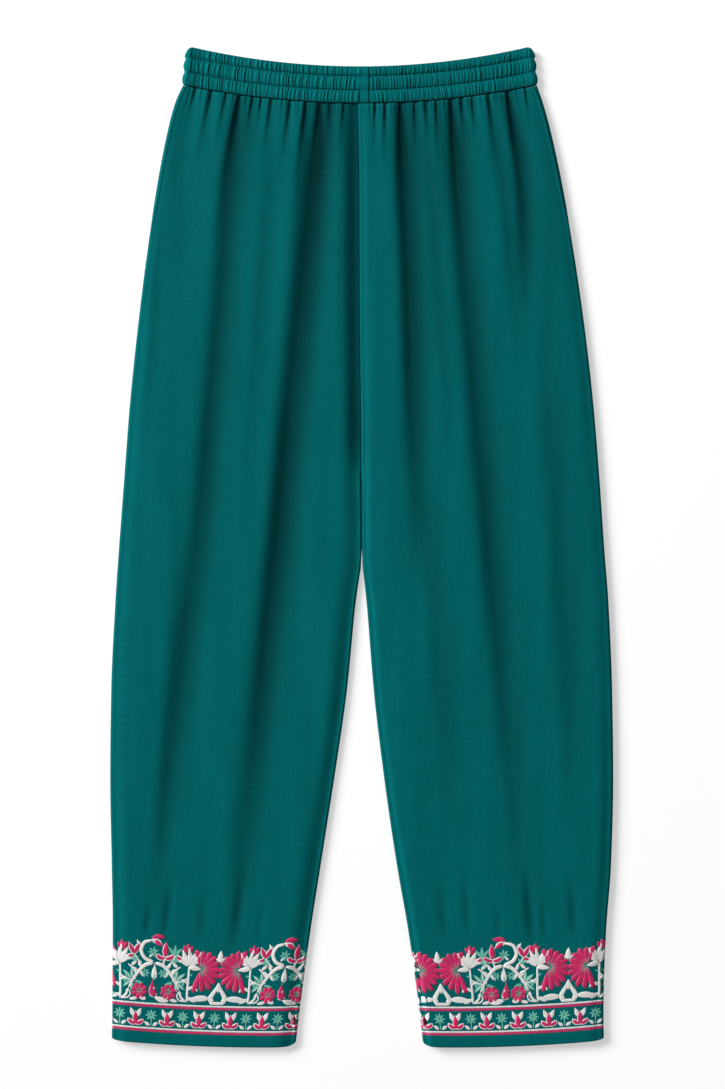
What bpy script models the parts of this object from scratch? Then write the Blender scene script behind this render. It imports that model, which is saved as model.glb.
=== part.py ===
"""Embroidered pull-on trousers, laid flat on their back on the plane z = 0, waist towards +Y.

Seven pieces are cut and sewn: two front legs, two back legs, and an elastic waistband of two front
halves and a back. Each piece is one closed wall of cloth, lofted through unlike sections. A leg lies
as a flattened tube: the back is flat underneath and turns up at the edges, and the front lies on it
with its folds. The front of the waistband has three channels gathered by the elastic, and the gathers
run out down the front of the legs. Left and right are the viewer's.

Sizes are in millimetres. Heights are measured up the trousers from the lowest point of the hems, an
inset is measured in from a leg's outline, and a level is measured up from the floor.
"""

import math
from dataclasses import dataclass

import bmesh
import bpy
import numpy as np

# Driving dimensions
LENGTH = 978.4
WALL = 1.2
BAND_WALL = 1.9
SEAM_GAP = 0.3
CROTCH = 604.0
CROTCH_RUN = 60.0

# How the flattened tubes turn over at their edges, and how far the front stands off the floor
EDGE_RADIUS = 3.1
CENTRE_RADIUS = 2.3
EDGE_EASE = 7.0
FULL_LEVEL = 5.8
WAIST_LEVEL = 4.9
WAIST_EASE = 174.0
CENTRE_LEVEL = 4.0
LOWEST_LEVEL = 3.0

# The side seam lies on the front at the hips, and at the outline below them
SEAM_INSET = 5.2
SEAM_INSET_TOP = 850.0
SEAM_INSET_END = 740.0
INSEAM_ANGLE = math.radians(135.0)

# The waistband: its channels from the top edge down, and how its edges sag between the sides
CHANNELS = (10.0, 14.0, 13.2)
BAND_HEIGHT = sum(CHANNELS)
BAND_CENTRE = -1.7
BAND_HALF_WIDTH = 173.4
BAND_TOP_NARROWER = 3.4
BAND_TOP_SAG = 18.6
BAND_SEAM_SAG = 17.7
BAND_LEVEL = 4.3
BAND_BULGE = 1.1
BAND_GATHER = 0.5
BAND_SIDE_BULGE = 1.3
BAND_GATHER_PITCH = 4.3
PLAIN_STRIP = 9.0
CORNER_DROP = 3.4
CORNER_RUN = 2.2
CORNER_FADE = 4
CORNER_INSET = 10.0

# The hem line dips towards the inner edge, and its corners are round
HEM_RISE = 7.0
HEM_LOWEST_SHARE = 0.83
HEM_OUTER_CORNER = 2.2
HEM_INNER_CORNER = 5.0
HEM_CORNER_SHARE = 0.022
HEM_CORNER_FADE = 12

# How finely each wall is divided
LEG_ROWS = 26
ROW_CROWDING = 1.5
TURN_STEPS = 3
BACK_TURN_STEPS = 4
BACK_FLAT_STEPS = 5
BAND_FLAT_STEPS = 7
CHANNEL_STEPS = 3
TURN_MARGIN = 2.0
INNER_RUN = 4.0
SETTLING_PASSES = 6
SLOPE_STEP = 0.02
SHARP_ANGLE = math.radians(50.0)

TEAL = (0.0010, 0.1070, 0.1170, 1.0)
TEAL_SHADE = (0.0008, 0.0800, 0.0880, 1.0)
CLOTH_ROUGHNESS = 0.85
COLLECTION_NAME = "embroidered_trousers"
MILLIMETRE = 0.001
QUARTER_TURN = math.pi / 2.0
EDGE_TURN = EDGE_RADIUS * QUARTER_TURN


@dataclass(frozen=True)
class Section:
    """Where the legs' four edges lie across the trousers, at one height."""

    height: float
    left_outer: float
    left_inner: float
    right_inner: float
    right_outer: float


SECTIONS = (
    Section(0.0, -244.4, -65.0, 60.4, 236.7),
    Section(49.0, -244.1, -59.1, 54.8, 236.9),
    Section(115.0, -243.7, -50.0, 45.4, 239.4),
    Section(179.0, -244.7, -40.0, 34.3, 244.2),
    Section(264.0, -246.2, -26.7, 21.9, 246.3),
    Section(349.0, -245.2, -14.4, 11.8, 245.2),
    Section(435.0, -241.2, -5.9, 4.9, 241.6),
    Section(484.0, -237.9, 0.2, 0.2, 237.8),
    Section(559.0, -232.3, -0.2, -0.2, 232.6),
    Section(624.0, -227.4, -0.6, -0.6, 227.3),
    Section(689.0, -220.9, -1.6, -1.6, 220.2),
    Section(752.0, -213.3, -2.0, -2.0, 211.5),
    Section(842.0, -200.6, -2.2, -2.2, 196.9),
    Section(902.0, -188.8, -3.2, -3.2, 183.8),
    Section(926.0, -182.0, -4.0, -4.0, 176.9),
    Section(941.0, -175.1, -4.1, -4.1, 171.6),
)


@dataclass(frozen=True)
class Fold:
    """A long soft trough: where it starts, passes and ends, its depth and its half width."""

    top: float
    top_across: float
    middle: float
    middle_across: float
    low: float
    low_across: float
    depth: float
    half_width: float


FOLDS = (
    Fold(925.0, -120.0, 500.0, -158.0, 110.0, -212.0, 2.0, 13.0),
    Fold(925.0, -40.0, 560.0, -72.0, 90.0, -130.0, 2.8, 14.0),
    Fold(925.0, 39.0, 760.0, 46.0, 540.0, 57.0, 1.9, 12.0),
    Fold(925.0, 88.0, 560.0, 121.0, 120.0, 166.0, 2.5, 13.0),
    Fold(930.0, 144.0, 860.0, 158.0, 770.0, 162.0, 1.8, 10.0),
)
FOLD_FADE_SHARE = 0.25


@dataclass(frozen=True)
class Gather:
    """A gather let out of the waist seam: its place across, its length and its depth."""

    across: float
    length: float
    depth: float


GATHERS = (
    Gather(-162.8, 30.0, 0.6),
    Gather(-147.0, 45.0, 0.8),
    Gather(-132.5, 35.0, 0.7),
    Gather(-120.2, 70.0, 1.0),
    Gather(-106.5, 30.0, 0.6),
    Gather(-97.7, 25.0, 0.5),
    Gather(-87.9, 40.0, 0.8),
    Gather(-70.3, 45.0, 0.8),
    Gather(-54.9, 60.0, 1.0),
    Gather(-41.1, 70.0, 1.0),
    Gather(-31.1, 35.0, 0.7),
    Gather(-17.7, 30.0, 0.6),
    Gather(13.0, 30.0, 0.6),
    Gather(22.8, 40.0, 0.7),
    Gather(37.3, 70.0, 1.0),
    Gather(51.7, 40.0, 0.7),
    Gather(63.0, 30.0, 0.6),
    Gather(72.4, 40.0, 0.7),
    Gather(86.8, 70.0, 1.0),
    Gather(97.1, 40.0, 0.7),
    Gather(108.1, 35.0, 0.7),
    Gather(123.8, 45.0, 0.8),
    Gather(142.4, 60.0, 1.0),
    Gather(159.7, 30.0, 0.6),
)
GATHER_SPREAD_SHARE = 0.16


@dataclass(frozen=True)
class Leg:
    """One leg: its side of the centre line, and how its front meets its inner edge."""

    name: str
    side: int
    inner_radius: float
    inner_ease: float
    plain_strip: float


LEGS = (
    Leg("left", -1, 2.3, 15.0, 0.0),
    Leg("right", 1, 2.9, 4.5, PLAIN_STRIP),
)


def smooth_curve(places, values, at):
    """Read a smooth curve through values given at rising places, at other places."""
    places = np.asarray(places, dtype=float)
    values = np.asarray(values, dtype=float)
    secants = np.diff(values) / np.diff(places)
    before = np.insert(secants, 0, secants[0])
    after = np.append(secants, secants[-1])
    turns = before * after <= 0.0
    slopes = np.where(turns, 0.0, 2.0 * before * after / np.where(turns, 1.0, before + after))
    left = np.clip(np.searchsorted(places, at) - 1, 0, len(places) - 2)
    span = places[left + 1] - places[left]
    t = np.clip((at - places[left]) / span, 0.0, 1.0)
    start = (1.0 + 2.0 * t) * (1.0 - t) ** 2 * values[left]
    start_slope = t * (1.0 - t) ** 2 * span * slopes[left]
    end = t * t * (3.0 - 2.0 * t) * values[left + 1]
    end_slope = t * t * (t - 1.0) * span * slopes[left + 1]
    return start + start_slope + end + end_slope


def smooth_step(low, high, at):
    """Rise softly from 0 at low to 1 at high."""
    t = np.clip((at - low) / (high - low), 0.0, 1.0)
    return t * t * (3.0 - 2.0 * t)


def edge_across(column, height):
    """Read one column of the section table at the given heights."""
    places = [row.height for row in SECTIONS]
    values = [getattr(row, column) for row in SECTIONS]
    return smooth_curve(places, values, height)


def outer_edge(leg, height):
    """Where the leg's outline lies across."""
    return edge_across(f"{leg.name}_outer", height)


def inner_edge(leg, height):
    """Where the leg's inner edge lies across: at the centre seam above the crotch."""
    return edge_across(f"{leg.name}_inner", height) + leg.side * SEAM_GAP / 2.0


def leg_width(leg, height):
    """The leg's flat width."""
    return np.abs(outer_edge(leg, height) - inner_edge(leg, height))


def below_crotch(height):
    """0 above the crotch, rising to 1 where the legs are separate tubes."""
    return smooth_step(0.0, CROTCH_RUN, CROTCH - height)


def inner_radius(leg, height):
    """The radius at which the leg turns over at its inner edge."""
    return CENTRE_RADIUS + (leg.inner_radius - CENTRE_RADIUS) * below_crotch(height)


def inseam_angle(height):
    """How far round the inner edge the back comes: it stays flat above the crotch."""
    return INSEAM_ANGLE * below_crotch(height)


def seam_arc(height):
    """How far over the outline the side seam lies, along the cloth."""
    return SEAM_INSET * smooth_step(SEAM_INSET_END, SEAM_INSET_TOP, height)


def fold_depth(across, height):
    """How far the long folds lower the front at each place."""
    depth = np.zeros_like(across)
    for fold in FOLDS:
        places = (fold.low, fold.middle, fold.top)
        values = (fold.low_across, fold.middle_across, fold.top_across)
        route = smooth_curve(places, values, height)
        fade_end = fold.low + FOLD_FADE_SHARE * (fold.top - fold.low)
        fade = smooth_step(fold.low, fade_end, height)
        depth += fold.depth * fade * np.exp(-(((across - route) / fold.half_width) ** 2))
    return depth


def front_level(leg, inset, height):
    """Level of the front's outer face between the leg's turned edges."""
    width = leg_width(leg, height)
    radius_in = inner_radius(leg, height)
    across = outer_edge(leg, height) - leg.side * inset
    at_waist = smooth_step(LENGTH - WAIST_EASE, LENGTH, height)
    full = FULL_LEVEL + (WAIST_LEVEL - FULL_LEVEL) * at_waist
    level = np.maximum(full - fold_depth(across, height), LOWEST_LEVEL)
    near_outer = np.exp(-(((inset - EDGE_RADIUS) / EDGE_EASE) ** 2))
    near_inner = np.exp(-(((width - radius_in - inset) / leg.inner_ease) ** 2))
    inner_level = CENTRE_LEVEL + (2.0 * leg.inner_radius - CENTRE_LEVEL) * below_crotch(height)
    level += (2.0 * EDGE_RADIUS - level) * near_outer
    return level + (inner_level - level) * near_inner


def front_skin(leg, arc, height):
    """Insets and levels of the front's outer face, by the arc from the outline.

    The arc runs up round the outer edge, across the top and down round the inner edge, where the
    section is a quarter of an oval that ends just above the back.
    """
    radius_in = inner_radius(leg, height)
    top_run = leg_width(leg, height) - EDGE_RADIUS - radius_in
    angle = np.clip(QUARTER_TURN + arc / EDGE_RADIUS, 0.0, math.pi)
    over = np.clip(arc - EDGE_TURN, 0.0, top_run)
    beyond = np.maximum(arc - EDGE_TURN - top_run, 0.0) / radius_in
    edge_level = EDGE_RADIUS * (1.0 - np.cos(angle))
    level = np.where(arc > EDGE_TURN, front_level(leg, EDGE_RADIUS + over, height), edge_level)
    back_angle = np.minimum(inseam_angle(height), QUARTER_TURN)
    seat = radius_in * (1.0 - np.cos(back_angle)) + WALL * np.cos(back_angle) + SEAM_GAP
    turned = seat + (level - seat) * np.cos(beyond)
    inset = EDGE_RADIUS * (1.0 - np.sin(angle)) + over + radius_in * np.sin(beyond)
    return inset, np.where(beyond > 0.0, turned, level)


def back_skin(leg, arc, height):
    """Insets and levels of the back's outer face, by the arc from the outline.

    The arc runs down under the outer edge, flat along the floor and up round the inner edge. An arc
    below zero lies over the outer edge, on the front.
    """
    radius_in = inner_radius(leg, height)
    reach = radius_in * np.sin(np.minimum(inseam_angle(height), QUARTER_TURN))
    flat_run = leg_width(leg, height) - EDGE_RADIUS - reach
    angle = np.clip(QUARTER_TURN - arc / EDGE_RADIUS, 0.0, math.pi)
    flat = np.clip(arc - EDGE_TURN, 0.0, flat_run)
    over = np.maximum(-arc - EDGE_TURN, 0.0)
    beyond = np.maximum(arc - EDGE_TURN - flat_run, 0.0) / radius_in
    edge_level = EDGE_RADIUS * (1.0 - np.cos(angle)) + radius_in * (1.0 - np.cos(beyond))
    level = np.where(over > 0.0, front_level(leg, EDGE_RADIUS + over, height), edge_level)
    inset = EDGE_RADIUS * (1.0 - np.sin(angle)) + flat + over + radius_in * np.sin(beyond)
    return inset, level


def wall_faces(skin, facing, arc, thickness, raised):
    """Outer and inner faces of a wall along a skin, whose inner face follows the plain skin."""
    inset, level = skin(arc)
    inset_after, level_after = skin(arc + SLOPE_STEP)
    inset_before, level_before = skin(arc - SLOPE_STEP)
    run = inset_after - inset_before
    rise = level_after - level_before
    length = np.hypot(run, rise)
    out_inset = -facing * rise / length
    out_level = facing * run / length
    outer = (inset + raised * out_inset, level + raised * out_level)
    inner = (inset - thickness * out_inset, level - thickness * out_level)
    return outer, inner


def waist_seam_height(across):
    """Height of the seam between the waistband and the legs, which sags between the sides."""
    share = (across - BAND_CENTRE) / BAND_HALF_WIDTH
    return LENGTH - BAND_HEIGHT - BAND_SEAM_SAG * (1.0 - share**2)


def hem_height(share):
    """Height of the hem line, by the share of the leg's width in from the outline."""
    return HEM_RISE * (1.0 - share / HEM_LOWEST_SHARE) ** 2


def hem_corners(share):
    """How far the hem's round corners rise above the hem line."""
    outer = HEM_OUTER_CORNER * np.exp(-share / HEM_CORNER_SHARE)
    return outer + HEM_INNER_CORNER * np.exp((share - 1.0) / HEM_CORNER_SHARE)


def gather_columns(leg):
    """Shares of the width for a column in each gather and on each crest between two gathers."""
    seam = LENGTH - BAND_HEIGHT
    start = outer_edge(leg, seam)
    end = inner_edge(leg, seam)
    mine = [gather for gather in GATHERS if gather.across * leg.side > 0.0]
    mine.sort(key=lambda gather: (gather.across - start) / (end - start))
    troughs = [(gather.across - start) / (end - start) for gather in mine]
    crests = [(a + b) / 2.0 for a, b in zip(troughs, troughs[1:])]
    return np.array(sorted(troughs + crests + [0.0, 1.0])), mine


def gather_raise(mine, count, below_seam):
    """How far each top column stands up, a given distance below the waist seam."""
    raised = np.zeros(count)
    for index, (first, second) in enumerate(zip(mine, mine[1:])):
        depth = (first.depth + second.depth) / 2.0
        length = (first.length + second.length) / 2.0
        raised[2 * index + 2] = depth * math.exp(-below_seam / length)
    return raised


class FrontLeg:
    """The front of a leg: columns from the side seam over the top to the inner edge."""

    skin = staticmethod(front_skin)
    facing = 1.0

    def __init__(self, leg):
        self.leg = leg
        self.waist_shares, self.gathers = gather_columns(leg)
        self.even_shares = np.linspace(0.0, 1.0, len(self.waist_shares))
        self.count = len(self.waist_shares) + 2 * TURN_STEPS

    def arcs(self, height, down):
        """The arc of each column, at its own height, a share of the length down."""
        leg = self.leg
        radius_in = inner_radius(leg, height)
        spread = smooth_step(0.0, GATHER_SPREAD_SHARE, down)
        top_shares = self.waist_shares + (self.even_shares - self.waist_shares) * spread
        start = seam_arc(height) + SEAM_GAP / 2.0
        top_start = np.maximum(EDGE_TURN, start) + TURN_MARGIN
        turn_start = EDGE_TURN + leg_width(leg, height) - EDGE_RADIUS - radius_in
        top_end = turn_start - TURN_MARGIN / 2.0
        end_angle = np.maximum(QUARTER_TURN, inseam_angle(height) + SEAM_GAP / radius_in)
        end = turn_start + radius_in * (math.pi - end_angle)
        before = np.arange(-TURN_STEPS, 0) / TURN_STEPS + 1.0
        after = np.arange(1, TURN_STEPS + 1) / TURN_STEPS
        seam_share = np.concatenate((before, np.ones(self.count - TURN_STEPS)))
        top_share = np.concatenate((np.zeros(TURN_STEPS), top_shares, np.ones(TURN_STEPS)))
        end_share = np.concatenate((np.zeros(self.count - TURN_STEPS), after))
        arc = start + seam_share * (top_start - start)
        arc += top_share * (top_end - top_start)
        return arc + end_share * (end - top_end)

    def raised(self, down):
        """How far the gathers stand up at each column."""
        top = gather_raise(self.gathers, len(self.waist_shares), down * LENGTH)
        return np.pad(top, TURN_STEPS)


class BackLeg:
    """The back of a leg: columns from the side seam under the leg and up its inner edge."""

    skin = staticmethod(back_skin)
    facing = -1.0

    def __init__(self, leg):
        self.leg = leg
        self.count = 2 * BACK_TURN_STEPS + BACK_FLAT_STEPS + 1

    def arcs(self, height, down):
        """The arc of each column, at its own height."""
        leg = self.leg
        radius_in = inner_radius(leg, height)
        angle = inseam_angle(height)
        start = -seam_arc(height) + SEAM_GAP / 2.0
        reach = radius_in * np.sin(np.minimum(angle, QUARTER_TURN))
        flat_run = leg_width(leg, height) - EDGE_RADIUS - reach
        end = EDGE_TURN + flat_run + radius_in * angle
        flat_end = end - np.maximum(radius_in * angle, INNER_RUN)
        column = np.arange(self.count)
        seam_share = np.clip(column / BACK_TURN_STEPS, 0.0, 1.0)
        flat_share = np.clip((column - BACK_TURN_STEPS) / BACK_FLAT_STEPS, 0.0, 1.0)
        end_share = np.clip((column - BACK_TURN_STEPS - BACK_FLAT_STEPS) / BACK_TURN_STEPS, 0.0, 1.0)
        arc = start + seam_share * (EDGE_TURN - start)
        arc += flat_share * (flat_end - EDGE_TURN)
        return arc + end_share * (end - flat_end)

    def raised(self, down):
        """The back has no gathers: it rests on the floor."""
        return 0.0


def column_heights(panel):
    """Heights of each column of a leg panel at the waist seam and at the hem line."""
    leg = panel.leg
    seam = np.full(panel.count, LENGTH - BAND_HEIGHT)
    hem = np.zeros(panel.count)
    share = np.zeros(panel.count)
    for _ in range(SETTLING_PASSES):
        inset = panel.skin(leg, panel.arcs(seam, 0.0), seam)[0]
        seam = waist_seam_height(outer_edge(leg, seam) - leg.side * inset) - SEAM_GAP
        share = panel.skin(leg, panel.arcs(hem, 1.0), hem)[0] / leg_width(leg, hem)
        hem = hem_height(share)
    return seam, hem, hem_corners(share)


def leg_wall(panel):
    """Rows of points on the outer and inner faces of a leg panel, from the waist to the hem."""
    leg = panel.leg
    seam, hem, corners = column_heights(panel)
    outer_rows = []
    inner_rows = []
    for down in (np.arange(LEG_ROWS + 1) / LEG_ROWS) ** ROW_CROWDING:
        height = seam + (hem - seam) * down + corners * down**HEM_CORNER_FADE
        arc = panel.arcs(height, down)
        faces = wall_faces(
            lambda at: panel.skin(leg, at, height), panel.facing, arc, WALL, panel.raised(down)
        )
        for rows, (inset, level) in zip((outer_rows, inner_rows), faces):
            across = outer_edge(leg, height) - leg.side * inset
            rows.append(np.stack((across, height - LENGTH / 2.0, level), axis=-1))
    return np.array(outer_rows), np.array(inner_rows)


def channel_swell(down):
    """How far the channel swells between its stitch lines, from 0 to 1."""
    top = 0.0
    for depth in CHANNELS:
        if down <= top + depth:
            return math.sin(math.pi * (down - top) / depth)
        top += depth
    return 0.0


def band_rows():
    """Distances down the waistband at which it has a row of points."""
    rows = [0.0]
    for depth in CHANNELS:
        top = rows[-1]
        rows += [top + depth * step / CHANNEL_STEPS for step in range(1, CHANNEL_STEPS + 1)]
    return rows


def band_width(down):
    """Half the waistband's width: it narrows to the top and at each stitch line."""
    narrower = BAND_TOP_NARROWER * (1.0 - down / BAND_HEIGHT)
    return BAND_HALF_WIDTH - narrower - BAND_SIDE_BULGE * (1.0 - channel_swell(down))


def band_skin(arc):
    """Insets and levels of the waistband's plain front, by the arc from the outline."""
    angle = np.clip(QUARTER_TURN + arc / EDGE_RADIUS, 0.0, math.pi)
    over = np.maximum(arc - EDGE_TURN, 0.0)
    swell = (2.0 * EDGE_RADIUS - BAND_LEVEL) * np.exp(-((over / EDGE_EASE) ** 2))
    level = np.where(over > 0.0, BAND_LEVEL + swell, EDGE_RADIUS * (1.0 - np.cos(angle)))
    return EDGE_RADIUS * (1.0 - np.sin(angle)) + over, level


def band_under_skin(arc):
    """Insets and levels of the waistband's back, by the arc down from the outline."""
    angle = np.clip(QUARTER_TURN - arc / EDGE_RADIUS, 0.0, math.pi)
    flat = np.maximum(arc - EDGE_TURN, 0.0)
    front_inset, front_level_there = band_skin(np.maximum(-arc, 0.0))
    inset = np.where(arc < 0.0, front_inset, EDGE_RADIUS * (1.0 - np.sin(angle)) + flat)
    return inset, np.where(arc < 0.0, front_level_there, EDGE_RADIUS * (1.0 - np.cos(angle)))


def band_points(side, down, inset, level):
    """Points of a waistband row: the top edge sags and drops at its round corners."""
    across = BAND_CENTRE + side * (band_width(down) - inset)
    down_share = down / BAND_HEIGHT
    reach = BAND_HALF_WIDTH - CORNER_INSET * (1.0 - down_share)
    share = np.clip((across - BAND_CENTRE) / reach, -1.0, 1.0)
    sag = BAND_TOP_SAG + (BAND_SEAM_SAG - BAND_TOP_SAG) * down_share
    corner = CORNER_DROP * np.exp(-inset / CORNER_RUN) * (1.0 - down_share) ** CORNER_FADE
    height = LENGTH - down - sag * (1.0 - share**2) - corner
    return np.stack((across, height - LENGTH / 2.0, level), axis=-1)


def band_front(leg):
    """Rows of points of half the waistband's front, with two columns for each gather."""
    start = SEAM_INSET + SEAM_GAP / 2.0
    top_start = EDGE_TURN + TURN_MARGIN
    outer_rows = []
    inner_rows = []
    for down in band_rows():
        centre = EDGE_TURN + band_width(down) - EDGE_RADIUS - SEAM_GAP / 2.0
        gathered_end = centre - leg.plain_strip
        gathers = round((band_width(0.0) - leg.plain_strip) / BAND_GATHER_PITCH)
        gathered = np.linspace(top_start, gathered_end, 2 * gathers + 1)
        zigzag = np.where(np.arange(2 * gathers + 1) % 2 == 1, BAND_GATHER, -BAND_GATHER)
        arc = np.concatenate(([start], gathered, [centre] if leg.plain_strip else []))
        gather = np.concatenate(([0.0], zigzag, [0.0] if leg.plain_strip else []))
        raised = BAND_BULGE * channel_swell(down) * (1.0 + gather)
        outer, inner = wall_faces(band_skin, 1.0, arc, BAND_WALL, raised)
        outer_rows.append(band_points(leg.side, down, *outer))
        inner_rows.append(band_points(leg.side, down, *inner))
    return np.array(outer_rows), np.array([inner_rows[0], inner_rows[-1]])


def band_back():
    """Rows of points of the waistband's back, which turns up and over at both sides."""
    start = -SEAM_INSET + SEAM_GAP / 2.0
    outer_rows = []
    inner_rows = []
    for down in band_rows():
        middle = EDGE_TURN + band_width(down) - EDGE_RADIUS
        turned = np.linspace(start, EDGE_TURN, BACK_TURN_STEPS + 1)
        flat = np.linspace(EDGE_TURN, middle, BAND_FLAT_STEPS + 1)
        arc = np.concatenate((turned, flat[1:]))
        faces = wall_faces(band_under_skin, -1.0, arc, BAND_WALL, 0.0)
        for rows, (inset, level) in zip((outer_rows, inner_rows), faces):
            left = band_points(-1, down, inset, level)
            right = band_points(1, down, inset, level)
            rows.append(np.concatenate((left, right[-2::-1])))
    return np.array(outer_rows), np.array(inner_rows)


def border(rows, columns, first):
    """Indices round the edge of a grid of points, starting from its first corner."""
    top = [first + column for column in range(columns)]
    right = [first + row * columns + columns - 1 for row in range(1, rows)]
    bottom = [first + (rows - 1) * columns + column for column in range(columns - 2, -1, -1)]
    left = [first + row * columns for row in range(rows - 2, 0, -1)]
    return top + right + bottom + left


def grid_faces(rows, columns, first):
    """Quads between the points of a grid."""
    faces = []
    for row in range(rows - 1):
        for column in range(columns - 1):
            corner = first + row * columns + column
            faces.append((corner, corner + 1, corner + columns + 1, corner + columns))
    return faces


def side_face(outer_rows, inner_rows, columns, column, first_inner):
    """One face across the end of a wall whose inner face has fewer rows."""
    outer = [row * columns + column for row in range(outer_rows)]
    inner = [first_inner + row * columns + column for row in range(inner_rows - 1, -1, -1)]
    return outer + inner


def loft_wall(name, faces_of_wall, material, collection):
    """Make one closed wall from the rows of points on its outer and inner faces."""
    outer, inner = faces_of_wall
    columns = outer.shape[1]
    first_inner = len(outer) * columns
    points = np.concatenate((outer.reshape(-1, 3), inner.reshape(-1, 3))) * MILLIMETRE
    faces = grid_faces(len(outer), columns, 0) + grid_faces(len(inner), columns, first_inner)
    if len(outer) == len(inner):
        rim = border(len(outer), columns, 0)
        for here, there in zip(rim, rim[1:] + rim[:1]):
            faces.append((here, there, there + first_inner, here + first_inner))
    else:
        for row, inner_row in ((0, 0), (len(outer) - 1, len(inner) - 1)):
            for column in range(columns - 1):
                here = row * columns + column
                across = first_inner + inner_row * columns + column
                faces.append((here, here + 1, across + 1, across))
        for column in (0, columns - 1):
            faces.append(side_face(len(outer), len(inner), columns, column, first_inner))
    mesh = bpy.data.meshes.new(name)
    mesh.from_pydata(points.tolist(), [], faces)
    shell = bmesh.new()
    shell.from_mesh(mesh)
    bmesh.ops.recalc_face_normals(shell, faces=shell.faces)
    shell.to_mesh(mesh)
    shell.free()
    mesh.shade_smooth()
    mesh.set_sharp_from_angle(angle=SHARP_ANGLE)
    mesh.materials.append(material)
    piece = bpy.data.objects.new(name, mesh)
    collection.objects.link(piece)
    return piece


def cloth_material(name, colour):
    """A matt woven cloth of one colour."""
    material = bpy.data.materials.new(name)
    material.use_nodes = True
    shader = material.node_tree.nodes["Principled BSDF"]
    shader.inputs["Base Color"].default_value = colour
    shader.inputs["Roughness"].default_value = CLOTH_ROUGHNESS
    shader.inputs["Metallic"].default_value = 0.0
    material.diffuse_color = colour
    return material


def main():
    """Build the trousers."""
    for leftover in list(bpy.data.objects):
        bpy.data.objects.remove(leftover, do_unlink=True)
    collection = bpy.data.collections.new(COLLECTION_NAME)
    bpy.context.scene.collection.children.link(collection)
    for leg in LEGS:
        face = cloth_material(f"front_{leg.name}_cloth", TEAL)
        under = cloth_material(f"back_{leg.name}_cloth", TEAL_SHADE)
        band = cloth_material(f"band_{leg.name}_cloth", TEAL)
        loft_wall(f"front_{leg.name}", leg_wall(FrontLeg(leg)), face, collection)
        loft_wall(f"back_{leg.name}", leg_wall(BackLeg(leg)), under, collection)
        loft_wall(f"waistband_front_{leg.name}", band_front(leg), band, collection)
    band_under = cloth_material("band_back_cloth", TEAL_SHADE)
    loft_wall("waistband_back", band_back(), band_under, collection)


main()
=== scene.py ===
"""Embroidered pull-on trousers, laid flat on a pale surface and seen from straight above.

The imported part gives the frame: two front legs, two back legs and a waistband of three pieces, in
metres, with the waist towards +Y and left and right as the viewer sees them. This script gives each
of those pieces its cloth, with the folds, gathers and seams of the real one, and adds the stitch
lines of the waistband and the embroidered borders round both hems.

Sizes are in millimetres until a mesh is made. Heights are measured up the trousers from the lowest
point of the hems, an inset is measured in from a leg's outline, an arc is measured along the cloth
from the outline, and a level is measured up from the surface that the trousers lie on.
"""

from __future__ import annotations

import logging
import math
from collections.abc import Callable
from dataclasses import dataclass, field
from enum import Enum

import bpy
import numpy as np
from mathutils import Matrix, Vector

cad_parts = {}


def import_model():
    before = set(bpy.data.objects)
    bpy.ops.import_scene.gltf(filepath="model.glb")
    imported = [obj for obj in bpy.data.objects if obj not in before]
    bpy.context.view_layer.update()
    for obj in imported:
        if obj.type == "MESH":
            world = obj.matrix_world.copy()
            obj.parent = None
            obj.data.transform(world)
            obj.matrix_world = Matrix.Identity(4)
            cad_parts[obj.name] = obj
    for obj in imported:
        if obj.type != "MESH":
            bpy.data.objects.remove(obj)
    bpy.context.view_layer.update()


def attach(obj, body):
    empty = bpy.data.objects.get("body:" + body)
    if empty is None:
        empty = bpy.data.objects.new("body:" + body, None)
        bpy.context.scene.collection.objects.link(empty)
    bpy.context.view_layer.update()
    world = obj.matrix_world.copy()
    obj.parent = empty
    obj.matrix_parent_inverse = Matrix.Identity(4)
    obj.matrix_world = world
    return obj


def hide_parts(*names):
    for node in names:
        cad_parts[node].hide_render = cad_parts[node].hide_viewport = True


LOG = logging.getLogger("trousers")
Array = np.ndarray

MILLIMETRE = 0.001
QUARTER_TURN = math.pi / 2.0
BODY = "root"

# Driving dimensions, the same as the part's
LENGTH = 978.4
SEAM_GAP = 0.3
CROTCH = 604.0
CROTCH_RUN = 60.0
EDGE_RADIUS = 3.1
EDGE_TURN = EDGE_RADIUS * QUARTER_TURN
EDGE_EASE = 7.0
CENTRE_RADIUS = 2.3
SEAM_INSET = 5.2
SEAM_INSET_TOP = 850.0
SEAM_INSET_END = 740.0
INSEAM_ANGLE = math.radians(135.0)
CHANNELS = (10.0, 14.0, 13.2)
BAND_HEIGHT = sum(CHANNELS)
BAND_CENTRE = -1.7
BAND_HALF_WIDTH = 173.4
BAND_TOP_NARROWER = 3.4
BAND_TOP_SAG = 18.6
BAND_SEAM_SAG = 17.7
BAND_LEVEL = 4.3
BAND_SIDE_BULGE = 1.3
CORNER_DROP = 3.4
CORNER_RUN = 2.2
CORNER_FADE = 4
CORNER_INSET = 10.0
HEM_RISE = 7.0
HEM_LOWEST_SHARE = 0.83
HEM_OUTER_CORNER = 2.2
HEM_INNER_CORNER = 5.0
HEM_CORNER_SHARE = 0.022
HEM_CORNER_FADE = 12
PLAIN_STRIP = 9.0

# Unlike the rigid walls, the two legs' cloth presses together along the middle
CENTRE_GAP = -0.1

# The real cloth is thinner than the part's walls, and lies just inside their outer faces
CLOTH = 0.6
UNDERSIDE = 0.6
CREST_LEVEL = 8.0
WAIST_LEVEL = 6.8
WAIST_EASE = 174.0
LOWEST_LEVEL = 2.3
LEVEL_SOFTNESS = 0.5
SETTLING_PASSES = 6
SLOPE_STEP = 0.02


@dataclass(frozen=True)
class Section:
    """Where the legs' four edges lie across the trousers, at one height."""

    height: float
    left_outer: float
    left_inner: float
    right_inner: float
    right_outer: float


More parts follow.
